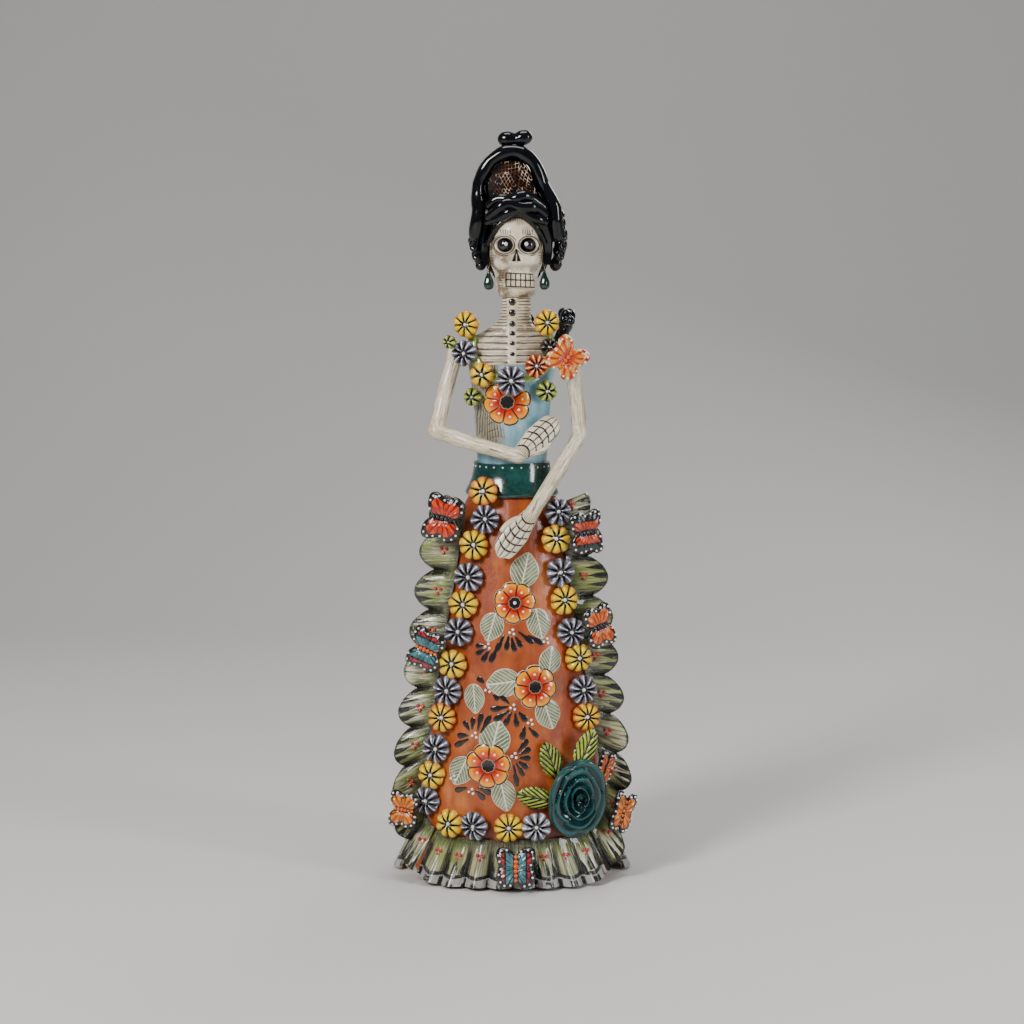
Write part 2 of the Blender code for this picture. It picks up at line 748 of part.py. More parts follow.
def build_garlands():
    mesh = flower_mesh("garland_flower", FLOWER_RADIUS)
    rows = {name: walk(side_garland(*path), count, size) for name, count, size, *path in GARLANDS}
    rows["hem"] = walk(hem_garland, HEM_GARLAND["flowers"], HEM_GARLAND["in_group"])
    for name, groups in rows.items():
        for number, spots in enumerate(groups, 1):
            add_flower_group(f"garland_{name}_{number}", mesh, "yellow_glaze", spots)


BODICE_FLOWERS = (  # name, x, height, radius, lift, finish
    ("flower_right_shoulder", -30, 371.5, 9.2, 6.0, "yellow_glaze"),
    ("flower_right_chest", -31, 352.5, 9.0, 7.0, "grey_violet_glaze"),
    ("flower_right_neckline", -19.6, 338.8, 8.5, 5.5, "yellow_glaze"),
    ("flower_centre_neckline", -0.6, 335, 10.2, 6.0, "grey_violet_glaze"),
    ("flower_left_neckline", 15.8, 344.6, 8.0, 6.0, "orange_glaze"),
    ("flower_left_chest", 24.0, 356.8, 6.2, 5.5, "black_glaze"),
    ("flower_left_shoulder", 22.8, 373, 9.0, 6.0, "yellow_glaze"),
    ("bud_right_shoulder", -40.8, 360, 4.9, 11.5, "lime_green_glaze"),
    ("bud_right_bodice", -25.5, 323.5, 6.4, 6.5, "lime_green_glaze"),
    ("bud_left_bodice", 22.3, 327.6, 7.4, 6.0, "lime_green_glaze"),
)


def build_bodice_flowers():
    for name, x, height, radius, lift, finish in BODICE_FLOWERS:
        point, out = body_front(x, min(height, SHOULDER_HEIGHT))
        point.z = height
        point.x = x
        ahead = out.lerp(Vector((0, -1, 0)), 0.7).normalized()
        add(name, flower_mesh(name, radius), finish, None, point + Vector((0, -lift, 0)), facing(ahead))


def build_rose():
    x, height = ROSE_CENTRE
    point, out = skirt_front(x, height)
    ahead = out.lerp(Vector((0, -1, 0)), 0.5).normalized()
    rings = []
    for share, depth in ((0.72, 0.0), (0.98, 0.25), (1.0, 0.5), (0.86, 0.82), (0.5, 1.0), (0.2, 0.92)):
        ring = []
        for k in range(20):
            angle = 2 * math.pi * k / 20
            lean = 1 + 0.08 * math.cos(angle + 0.9)
            ring.append(Vector((
                ROSE_HALF_WIDTH * share * math.cos(angle) * lean,
                ROSE_HALF_HEIGHT * share * math.sin(angle) * lean,
                depth * ROSE_DEPTH,
            )))
        rings.append(ring)
    add("rose", loft("rose", rings), "teal_glaze", None, point + out * 7.5, facing(ahead))


def leaf_mesh(name, length, half_width, thickness=1.8):
    """A pointed leaf along +Y with its stalk at the origin."""
    shape = [(i / 8, half_width * math.sin(math.pi * (i / 8) ** 0.8) ** 0.8 + 0.6) for i in range(9)]
    edge = [(w, t * length) for t, w in shape] + [(-w, t * length) for t, w in reversed(shape)]
    rings = [[Vector((x, y, z)) for x, y in edge] for z in (0, thickness)]
    return loft(name, rings)


ROSE_LEAVES = (  # name, stalk x, height, direction in degrees from straight up, length, half width, lift
    ("rose_leaf_1", 29, 73.5, 22, 24, 7.0, 2.6),
    ("rose_leaf_2", 35.5, 80, -26, 26, 7.0, 11.5),
    ("rose_leaf_3", 26.5, 58, 76, 24, 6.6, 2.8),
)


def build_leaves():
    for name, x, height, turn, length, half_width, lift in ROSE_LEAVES:
        angle = math.radians(turn)
        up = Vector((-math.sin(angle), 0, math.cos(angle)))
        middle_x, middle_height = x + up.x * length / 2, height + up.z * length / 2
        point, out = skirt_front(middle_x, middle_height)
        ahead = out.lerp(Vector((0, -1, 0)), 0.5 if lift > 5 else 0.0).normalized()
        turn_matrix = facing(ahead, up)
        stalk = point + out * lift - turn_matrix @ Vector((0, length / 2, 0))
        add(name, leaf_mesh(name, length, half_width), "lime_green_glaze", None, stalk, turn_matrix)


def butterfly_mesh(name, half_width, half_height, thickness=2.4):
    """Two pairs of wings in one flat piece, notched at the head, the tail and between the wings."""
    quarter = ((0.0, 0.62), (0.35, 0.98), (0.85, 1.0), (1.0, 0.62), (0.84, 0.06))
    lower = ((0.98, -0.42), (0.78, -0.92), (0.35, -1.0), (0.0, -0.72))
    right = quarter + lower
    edge = list(right) + [(-x, y) for x, y in reversed(right[1:-1])]
    rings = [
        [Vector((x * half_width, y * half_height, z)) for x, y in edge]
        for z in (0, thickness)
    ]
    return loft(name, rings)


# Name, x, y, height, half width, half height, then turned in the plane, swung about Z and tipped up, in degrees.
BUTTERFLIES = (
    ("butterfly_right_hip", -45, -33.5, 244.5, 16, 12.5, 76, 8, 0),
    ("butterfly_right_knee", -56.5, -33.5, 156.5, 14.5, 12, 70, 22, 0),
    ("butterfly_right_hem", -72, -33, 48, 12.5, 10.5, 85, 22, -4),
    ("butterfly_left_hip", 48.5, -33, 235, 15, 11.5, -84, -24, 0),
    ("butterfly_left_knee", 57.5, -31.5, 172, 15, 10.5, -74, -28, 0),
    ("butterfly_left_hem", 73.5, -32, 46, 8.8, 13.5, -20, -30, 0),
    ("butterfly_beside_rose", 61, -30, 75.5, 6.4, 11.5, -24, -34, 0),
    ("butterfly_front_hem", 2.5, -69.4, 17.2, 13.2, 13.2, 0, 0, -12),
    ("butterfly_left_shoulder", 36, -22.5, 349.5, 12.5, 12, -40, -12, 0),
)


def build_butterflies():
    for name, x, y, height, half_width, half_height, turn, swing, tip in BUTTERFLIES:
        stand = facing(Vector((0, -1, 0)))
        spin = Matrix.Rotation(math.radians(turn), 3, "Z")
        lean = Matrix.Rotation(math.radians(-swing), 3, "Z") @ Matrix.Rotation(math.radians(tip), 3, "X")
        mesh = butterfly_mesh(name, half_width, half_height)
        add(name, mesh, "orange_glaze", None, (x, y, height), lean @ stand @ spin)


def main():
    clear_scene()
    build_skirt()
    build_torso()
    build_waistband()
    build_chest()
    build_neckline_trim()
    build_head()
    build_shoulder_braid()
    build_arm("right", RIGHT_ARM)
    build_arm("left", LEFT_ARM)
    build_side_ruffle(-1, "ruffle_right")
    build_side_ruffle(1, "ruffle_left")
    build_front_hem()
    build_back_hem()
    build_garlands()
    build_bodice_flowers()
    build_rose()
    build_leaves()
    build_butterflies()


main()
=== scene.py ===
"""The looks of the glazed clay catrina, built around its CAD frame.

Every mesh is made in the frame's own place, in millimetres, and turned into metres by Clay.finish. Each
point carries a "local" value that its glaze reads, such as how far along a petal it lies, so that the
painting follows the shape. "Right" and "left" are the figure's own: its right side is at -X, and it faces -Y.
"""
import math
import random

import bmesh
import bpy
from mathutils import Matrix, Vector, noise


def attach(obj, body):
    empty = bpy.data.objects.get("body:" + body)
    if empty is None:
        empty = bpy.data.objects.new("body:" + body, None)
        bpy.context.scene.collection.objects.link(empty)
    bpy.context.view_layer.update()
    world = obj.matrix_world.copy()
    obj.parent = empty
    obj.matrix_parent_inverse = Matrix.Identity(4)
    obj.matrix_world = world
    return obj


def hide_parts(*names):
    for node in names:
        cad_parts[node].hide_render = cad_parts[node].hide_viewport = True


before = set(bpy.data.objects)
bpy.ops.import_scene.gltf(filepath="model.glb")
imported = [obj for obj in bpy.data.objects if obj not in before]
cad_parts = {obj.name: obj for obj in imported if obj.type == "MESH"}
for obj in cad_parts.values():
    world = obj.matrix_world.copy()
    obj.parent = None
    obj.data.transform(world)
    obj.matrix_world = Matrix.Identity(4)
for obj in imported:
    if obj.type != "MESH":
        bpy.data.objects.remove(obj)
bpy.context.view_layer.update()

MM = 0.001
UP = Vector((0, 0, 1))
FRONT = Vector((0, -1, 0))
dice = random.Random(7)

# ---------------------------------------------------------------- camera, light and floor
CAMERA_PLACE = (0.0, -1.6, 0.42)
CAMERA_TILT = math.radians(90 - 6.245)
CAMERA_LENS = 83.8


def add_camera():
    data = bpy.data.cameras.new("camera")
    data.lens = CAMERA_LENS
    data.sensor_width = 36
    camera = bpy.data.objects.new("camera", data)
    camera.location = CAMERA_PLACE
    camera.rotation_euler = (CAMERA_TILT, 0, 0)
    bpy.context.scene.collection.objects.link(camera)
    bpy.context.scene.camera = camera


def add_light(name, place, size, power, colour=(1, 1, 1)):
    data = bpy.data.lights.new(name, "AREA")
    data.shape = "RECTANGLE"
    data.size, data.size_y = size
    data.energy = power
    data.color = colour
    light = bpy.data.objects.new(name, data)
    light.location = place
    light.rotation_euler = (Vector((0, 0, 0.26)) - light.location).to_track_quat("-Z", "Y").to_euler()
    bpy.context.scene.collection.objects.link(light)


def add_studio():
    add_light("key_window", (-1.0, -1.35, 1.2), (0.45, 0.6), 36, (1.0, 0.98, 0.95))
    add_light("fill_window", (1.35, -0.9, 0.65), (0.3, 0.7), 11, (0.95, 0.98, 1.0))
    add_light("top_light", (0.0, 0.0, 1.6), (0.8, 0.5), 9)
    add_light("back_light", (0.7, 1.2, 1.0), (0.6, 0.6), 6, (1.0, 0.97, 0.93))
    world = bpy.data.worlds.new("studio")
    bpy.context.scene.world = world
    world.use_nodes = True
    backdrop = world.node_tree.nodes["Background"]
    backdrop.inputs["Color"].default_value = (0.84, 0.88, 0.94, 1)
    backdrop.inputs["Strength"].default_value = 0.16


# ---------------------------------------------------------------- small maths
def clamp(value, low=0.0, high=1.0):
    return min(max(value, low), high)


def ease(value, low, high):
    """0 at low, 1 at high, smooth between."""
    t = clamp((value - low) / (high - low))
    return t * t * (3 - 2 * t)


def level(table, height):
    """The row of a (height, values...) table at a height, straight between its rows."""
    for low, high in zip(table, table[1:]):
        if height <= high[0]:
            break
    t = clamp((height - low[0]) / (high[0] - low[0]))
    return [p + (q - p) * t for p, q in zip(low[1:], high[1:])]


def soft_level(table, height, reach):
    """The same with the table's corners rounded over reach."""
    rows = [level(table, height + reach * share) for share in (-1, -0.5, 0, 0.5, 1)]
    return [sum(values) / len(rows) for values in zip(*rows)]


def blend(stations, where):
    """A smooth (Catmull-Rom) value between evenly spaced stations, at where from 0 to 1."""
    last = len(stations) - 1
    spot = clamp(where) * last
    i = min(int(spot), last - 1)
    t = spot - i
    a, b, c, d = (Vector(stations[min(max(k, 0), last)]) for k in (i - 1, i, i + 1, i + 2))
    return 0.5 * (2 * b + (c - a) * t + (2 * a - 5 * b + 4 * c - d) * t**2 + (3 * b - a - 3 * c + d) * t**3)


def turns(count):
    """The angles of a full turn in even steps."""
    return [2 * math.pi * k / count for k in range(count)]


def facing(normal, up=UP):
    """A rotation whose Z looks along normal and whose Y keeps as near to up as it can."""
    z = Vector(normal).normalized()
    x = Vector(up).cross(z).normalized()
    return Matrix((x, z.cross(x), z)).transposed()


def wobble(point, scale=0.08, seed=0.0):
    """An even, hand-made unevenness from -1 to 1; scale is per millimetre."""
    return noise.noise(Vector(point) * scale + Vector((seed, seed * 0.7, -seed)))


# ---------------------------------------------------------------- pieces of clay
class Clay:
    """A piece in the making: points in millimetres, what their glaze reads, and faces with their slots."""

    def __init__(self):
        self.points, self.local, self.faces, self.slots = [], [], [], []

    def ring(self, spots):
        """Adds (point, local) pairs and returns their numbers."""
        start = len(self.points)
        for point, local in spots:
            self.points.append(Vector(point))
            self.local.append(Vector(local))
        return list(range(start, len(self.points)))

    def face(self, numbers, slot=0):
        self.faces.append(tuple(numbers))
        self.slots.append(slot)

    def bridge(self, rings, slot=0, closed=True):
        """Quads between neighbouring rings."""
        for low, high in zip(rings, rings[1:]):
            count = len(low)
            for i in range(count if closed else count - 1):
                j = (i + 1) % count
                self.face((low[i], low[j], high[j], high[i]), slot)

    def loft(self, rings, slot=0):
        """A closed solid through rings of (point, local) pairs."""
        numbers = [self.ring(ring) for ring in rings]
        self.bridge(numbers, slot)
        self.face(reversed(numbers[0]), slot)
        self.face(numbers[-1], slot)

    def shell(self, outside, inside):
        """An open-ended wall between two lists of rings; its inside and its lower rim have slot 1."""
        self.bridge(outside, 0)
        self.bridge(inside, 1)
        self.bridge([inside[0], outside[0]], 1)
        self.bridge([outside[-1], inside[-1]], 0)

    def sheet(self, grid, thickness):
        """A closed slab whose middle surface is a grid of (point, local) pairs."""
        rows, columns = len(grid), len(grid[0])

        def normal(r, c):
            along = grid[min(r + 1, rows - 1)][c][0] - grid[max(r - 1, 0)][c][0]
            over = grid[r][min(c + 1, columns - 1)][0] - grid[r][max(c - 1, 0)][0]
            return along.cross(over).normalized()

        sides = []
        for side in (-0.5, 0.5):
            sides.append([
                self.ring([
                    (spot[0] + normal(r, c) * thickness * side, spot[1]) for c, spot in enumerate(row)
                ])
                for r, row in enumerate(grid)
            ])
        self.bridge(sides[0], closed=False)
        self.bridge([list(reversed(row)) for row in sides[1]], closed=False)
        rim = (
            [(0, c) for c in range(columns)]
            + [(r, columns - 1) for r in range(1, rows)]
            + [(rows - 1, c) for c in range(columns - 2, -1, -1)]
            + [(r, 0) for r in range(rows - 2, 0, -1)]
        )
        for (r, c), (s, d) in zip(rim, rim[1:] + rim[:1]):
            self.face((sides[0][s][d], sides[0][r][c], sides[1][r][c], sides[1][s][d]))

    def tube(self, path, radii, sides=16, slot=0, twist=0.0, strands=0, groove=0.0, flat=1.0, across=None):
        """A rod along a path with round ends. Strands and groove cut it into a twisted bundle."""
        path = [Vector(p) for p in path]
        side = None
        rings, length = [], 0.0
        last = len(path) - 1
        for i, point in enumerate(path):
            ahead = (path[min(i + 1, last)] - path[max(i - 1, 0)]).normalized()
            if side is None:
                side = (Vector(across) if across else (UP if abs(ahead.z) < 0.9 else FRONT)).cross(ahead)
            side = (side - ahead * side.dot(ahead)).normalized()
            other = ahead.cross(side)
            length += (point - path[max(i - 1, 0)]).length
            stops = [(0, 1.0)]
            if i == 0:
                stops = [(-1.0, 0.1), (-0.92, 0.4), (-0.7, 0.7), (-0.38, 0.92), (0, 1.0)]
            elif i == last:
                stops = [(0, 1.0), (0.38, 0.92), (0.7, 0.7), (0.92, 0.4), (1.0, 0.1)]
            for along, share in stops:
                ring = []
                for angle in turns(sides):
                    reach = radii[i] * share
                    if strands:
                        strand = abs(math.sin(0.5 * strands * (angle + twist * length)))
                        reach *= 1 - groove * 0.9 * strand**0.5
                    out = side * math.cos(angle) + other * math.sin(angle) * flat
                    spot = point + ahead * along * radii[i] + out * reach
                    ring.append((spot, (length + along * radii[i], angle * radii[i], share)))
                rings.append(ring)
        self.loft(rings, slot)

    def dome(self, centre, out, radius, height=None, slot=0, sides=10):
        """A raised dot of slip."""
        turn = facing(out, UP if abs(Vector(out).normalized().z) < 0.9 else FRONT)
        height = radius * 0.8 if height is None else height
        rings = []
        for share, lift in ((1.0, -0.25), (0.97, 0.15), (0.8, 0.62), (0.48, 0.9), (0.12, 1.0)):
            ring = []
            for angle in turns(sides):
                flat = Vector((math.cos(angle), math.sin(angle), 0)) * radius * share
                ring.append((Vector(centre) + turn @ (flat + Vector((0, 0, lift * height))), (share, 0, 0)))
            rings.append(ring)
        self.loft(rings, slot)

    def finish(self, name, glazes, body, *nodes, sharp=60):
        """Makes the object, lets it ride on its body and stand for its CAD nodes."""
        mesh = bpy.data.meshes.new(name)
        mesh.from_pydata([p * MM for p in self.points], [], self.faces)
        for glaze in glazes if isinstance(glazes, (list, tuple)) else [glazes]:
            mesh.materials.append(glaze)
        mesh.polygons.foreach_set("material_index", self.slots)
        values = mesh.attributes.new("local", "FLOAT_VECTOR", "POINT")
        values.data.foreach_set("vector", [v for local in self.local for v in local])
        work = bmesh.new()
        work.from_mesh(mesh)
        bmesh.ops.recalc_face_normals(work, faces=work.faces)
        work.to_mesh(mesh)
        work.free()
        mesh.shade_smooth()
        mesh.set_sharp_from_angle(angle=math.radians(sharp))
        piece = bpy.data.objects.new(name, mesh)
        bpy.context.scene.collection.objects.link(piece)
        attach(piece, body)
        if nodes:
            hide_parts(*nodes)
        return piece


# ---------------------------------------------------------------- glazes
class Glaze:
    """A procedural glaze on a Principled shader, with short names for the nodes it is made of."""

    def __init__(self, name, roughness=0.3, coat=0.5, coat_roughness=0.06, metallic=0.0):
        self.material = bpy.data.materials.new(name)
        self.material.use_nodes = True
        self.tree = self.material.node_tree
        self.shader = self.tree.nodes["Principled BSDF"]
        for socket, value in (
            ("Roughness", roughness), ("Metallic", metallic),
            ("Coat Weight", coat), ("Coat Roughness", coat_roughness),
        ):
            self.shader.inputs[socket].default_value = value
        self.place = self.node("TexCoord").outputs["Object"]
        reader = self.node("Attribute")
        reader.attribute_name = "local"
        self.local = tuple(self.node("SeparateXYZ", reader.outputs["Vector"]).outputs)

    def feed(self, socket, value):
        if isinstance(value, bpy.types.NodeSocket):
            self.tree.links.new(value, socket)
        elif isinstance(value, (tuple, list)):
            socket.default_value = (*value, 1.0)[: len(socket.default_value)]
        else:
            socket.default_value = value

    def node(self, kind, *values):
        """A new node with the values or links of its first sockets."""
        node = self.tree.nodes.new("ShaderNode" + kind)
        for socket, value in zip(node.inputs, values):
            self.feed(socket, value)
        return node

    def math(self, operation, first, second=0.0, third=0.0):
        node = self.node("Math", first, second, third)
        node.operation = operation
        return node.outputs[0]

    def plus(self, first, second):
        return self.math("ADD", first, second)

    def minus(self, first, second):
        return self.math("SUBTRACT", first, second)

    def times(self, first, second):
        return self.math("MULTIPLY", first, second)

    def size(self, value):
        """A value without its sign."""
        return self.math("ABSOLUTE", value)

    def ease(self, value, low, high):
        """0 at low, 1 at high, smooth between. Low may be above high."""
        node = self.node("MapRange", value, low, high, 0.0, 1.0)
        node.interpolation_type = "SMOOTHSTEP"
        return node.outputs[0]

    def mix(self, share, first, second):
        node = self.node("Mix")
        node.data_type = "RGBA"
        self.feed(node.inputs[0], share)
        self.feed(node.inputs[6], first)
        self.feed(node.inputs[7], second)
        return node.outputs[2]

    def vector(self, x, y, z):
        return self.node("CombineXYZ", x, y, z).outputs[0]

    def noise(self, scale, detail=3.0, stretch=None, vector=None, roughness=0.55):
        """Cloudy noise from 0 to 1, on the object's own place unless a vector is given."""
        source = self.place if vector is None else vector
        if stretch:
            mapping = self.node("Mapping", source)
            mapping.inputs["Scale"].default_value = stretch
            source = mapping.outputs[0]
        node = self.node("TexNoise", source)
        for name, value in (("Scale", scale), ("Detail", detail), ("Roughness", roughness)):
            node.inputs[name].default_value = value
        return node.outputs[0]

    def stripes(self, value, count):
        """How far value is from the middle of its stripe: 0 in the middle, 1 at the border."""
        wave = self.math("PINGPONG", self.times(value, count), 0.5)
        return self.times(wave, 2.0)

    def all(self, *masks):
        result = masks[0]
        for mask in masks[1:]:
            result = self.times(result, mask)
        return result

    def any(self, *masks):
        result = masks[0]
        for mask in masks[1:]:
            result = self.math("MAXIMUM", result, mask)
        return result

    def mottle(self, dark, light, scale=30, patches=0.5):
        """Glaze that gathered thick here and ran thin there."""
        broad = self.ease(self.noise(scale, 4), 0.35, 0.65)
        fine = self.ease(self.noise(scale * 7, 3), 0.3, 0.7)
        return self.mix(self.math("MULTIPLY_ADD", fine, 1 - patches, self.times(broad, patches)), dark, light)

    def done(self, colour, roughness=None, height=None, strength=0.35, distance=0.4):
        """Links the colour, an uneven roughness and a bump, whose distance is in millimetres."""
        self.feed(self.shader.inputs["Base Color"], colour)
        if roughness is not None:
            self.feed(self.shader.inputs["Roughness"], roughness)
        relief = self.plus(self.noise(140, 3), self.times(self.noise(700, 2), 0.25))
        if height is not None:
            relief = self.plus(relief, height)
        bump = self.node("Bump")
        bump.inputs["Strength"].default_value = strength
        bump.inputs["Distance"].default_value = distance * MM
        self.tree.links.new(relief, bump.inputs["Height"])
        self.tree.links.new(bump.outputs[0], self.shader.inputs["Normal"])
        return self.material


BLACK = (0.012, 0.010, 0.010)


def terracotta_glaze():
    g = Glaze("terracotta_glaze", coat=0.22, coat_roughness=0.12)
    streaks = g.ease(g.noise(70, 4, (1.0, 1.0, 0.45)), 0.3, 0.72)
    pools = g.ease(g.noise(24, 4), 0.46, 0.68)
    thin = g.ease(g.noise(44, 5, (1.0, 1.0, 0.6)), 0.52, 0.74)
    colour = g.mix(streaks, (0.27, 0.038, 0.004), (0.47, 0.098, 0.013))
    colour = g.mix(g.times(pools, 0.75), colour, (0.17, 0.026, 0.005))
    colour = g.mix(g.times(thin, 0.5), colour, (0.72, 0.26, 0.065))
    return g.done(colour, g.ease(g.noise(60), -0.6, 1.9), streaks, 0.5, 0.7)


def bare_clay():
    g = Glaze("bare_clay", roughness=0.85, coat=0.0)
    colour = g.mix(g.noise(60, 5), (0.36, 0.15, 0.07), (0.50, 0.24, 0.13))
    return g.done(colour, None, g.noise(900, 3), 0.5, 0.5)


def plain_glaze(name, dark, light, scale=40, roughness=0.25, coat=0.6, strength=0.35):
    g = Glaze(name, roughness=roughness, coat=coat)
    return g.done(g.mottle(dark, light, scale), None, None, strength)


def bone_glaze(name="bone_glaze", lines=1.0, marks=None, stain_and_shade_brown=(0.20, 0.115, 0.05)):
    """Ivory slip with brown in scratches that follow the bone: local is (along, around) in mm. Marks, where
    given, add brown stains (with brown painted shade on the chest and skull) and black painting.
    """
    g = Glaze(name, roughness=0.36, coat=0.3, coat_roughness=0.15)
    along, around, _ = g.local
    grain = g.vector(g.times(along, 0.05), g.times(around, 0.9), 0.0)
    scratches = g.ease(g.noise(1.7, 3, None, grain), 0.50, 0.62)
    deep = g.ease(g.noise(1.1, 2, None, grain), 0.60, 0.65)
    stain = g.ease(g.noise(32, 5), 0.40, 0.72)
    colour = g.mix(g.noise(55, 4), (0.74, 0.62, 0.40), (0.90, 0.84, 0.70))
    colour = g.mix(g.times(stain, 0.5), colour, (0.46, 0.29, 0.12))
    colour = g.mix(g.times(scratches, 0.7 * lines), colour, (0.30, 0.17, 0.07))
    colour = g.mix(g.times(deep, 0.9 * lines), colour, (0.045, 0.025, 0.014))
    if marks:
        stain_and_shade, black = marks(g)
        # Brown stains, and on the chest and skull brown painted shade, laid over the bone.
        colour = g.mix(stain_and_shade, colour, stain_and_shade_brown)
        colour = g.mix(black, colour, (0.014, 0.010, 0.009))
    return g.done(colour, None, g.times(g.math("MAXIMUM", scratches, deep), -0.6), 0.5, 0.4)


def flower_glaze(name, base, edge, ridge=None, reach=0.86):
    """Petals with a dark star at the middle: local is (share of the radius, how near the groove, seed)."""
    g = Glaze(name, roughness=0.2, coat=0.6)
    share, groove, _ = g.local
    # The tips' tone is partly glaze colour and partly painted shade: on the yellow, orange, red and bud
    # flowers it darkens the rims where the puffed petals round off.
    tint = g.ease(g.plus(share, g.times(g.noise(160, 2), 0.5)), 0.88, 1.28)
    colour = g.mix(tint, base, edge)
    colour = g.mix(g.times(g.ease(g.noise(75, 2), 0.52, 0.68), 0.3), colour, edge)
    if ridge:
        fleck = g.plus(g.times(groove, 1.3), g.times(g.noise(520, 2), 0.9))
        crest = g.all(g.ease(fleck, 0.74, 0.58), g.ease(share, 0.34, 0.46), g.ease(share, 1.0, 0.9))
        colour = g.mix(crest, colour, ridge)
    # Painted shade: a dark brown laid in the grooves between the petals, from a third of the way out to the
    # tips.
    groove_shade = g.all(g.ease(groove, 0.50, 0.92), g.ease(share, 0.3, 0.7))
    colour = g.mix(g.times(groove_shade, 0.85), colour, (0.05, 0.025, 0.008))
    arc = g.times(g.minus(1.0, groove), share)
    width = g.times(g.ease(share, reach, 0.36), 0.22)
    star = g.ease(g.minus(arc, width), 0.03, -0.02)
    star = g.all(star, g.ease(share, reach + 0.02, reach - 0.04), g.ease(g.noise(420, 2), 0.2, 0.36))
    colour = g.mix(g.any(star, g.ease(share, 0.26, 0.20)), colour, BLACK)
    return g.done(colour, None, None, 0.3)


def poppy_glaze():
    """A painted poppy: local is (share of the radius, how near the petal's border, seed)."""
    g = Glaze("poppy_glaze", roughness=0.2, coat=0.5)
    share, border, _ = g.local
    fuzz = g.times(g.minus(g.noise(320, 3), 0.5), 0.4)
    depth = g.plus(share, fuzz)
    colour = g.mix(g.ease(depth, 0.30, 0.66), (0.36, 0.006, 0.001), (0.78, 0.085, 0.0005))
    colour = g.mix(g.ease(depth, 0.58, 0.84), colour, (0.90, 0.34, 0.0005))
    seam = g.times(g.minus(1.0, border), share)
    colour = g.mix(g.all(g.ease(seam, 0.14, 0.05), g.ease(share, 0.34, 0.42)), colour, (0.06, 0.012, 0.003))
    colour = g.mix(g.ease(share, 0.31, 0.29), colour, (0.30, 0.22, 0.14))
    colour = g.mix(g.ease(share, 0.275, 0.26), colour, BLACK)
    colour = g.mix(g.ease(share, 0.895, 0.91), colour, BLACK)
    colour = g.mix(g.ease(share, 0.965, 0.975), colour, (0.80, 0.60, 0.45))
    return g.done(colour, None, None, 0.3)


def leaf_glaze(name, body, shade, vein, count, rim=None, width=0.18, midrib_width=0.05):
    """A leaf with a midrib and slanting side veins: local is (across, along, share of the outline)."""
    g = Glaze(name, roughness=0.24, coat=0.5)
    across, along, share = g.local
    side = g.size(across)
    uneven = g.times(g.noise(200, 1), 0.05)
    slant = g.plus(g.minus(along, g.times(side, 0.55)), uneven)
    veins = g.ease(g.stripes(slant, count), 1.0 - width, 1.0 - width * 0.4)
    midrib = g.ease(side, midrib_width, midrib_width * 0.5)
    colour = g.mix(g.ease(g.noise(120, 4), 0.3, 0.7), body, shade)
    colour = g.mix(g.any(veins, midrib), colour, vein)
    if rim:
        colour = g.mix(g.ease(share, 0.93, 0.95), colour, rim)
    return g.done(colour, None, g.times(g.any(veins, midrib), -0.7), 0.4)


def brush_black():
    g = Glaze("brush_black", roughness=0.2, coat=0.8)
    thin = g.ease(g.noise(260, 3, (1, 1, 0.4)), 0.62, 0.8)
    return g.done(g.mix(g.times(thin, 0.6), (0.014, 0.009, 0.008), (0.10, 0.035, 0.02)))


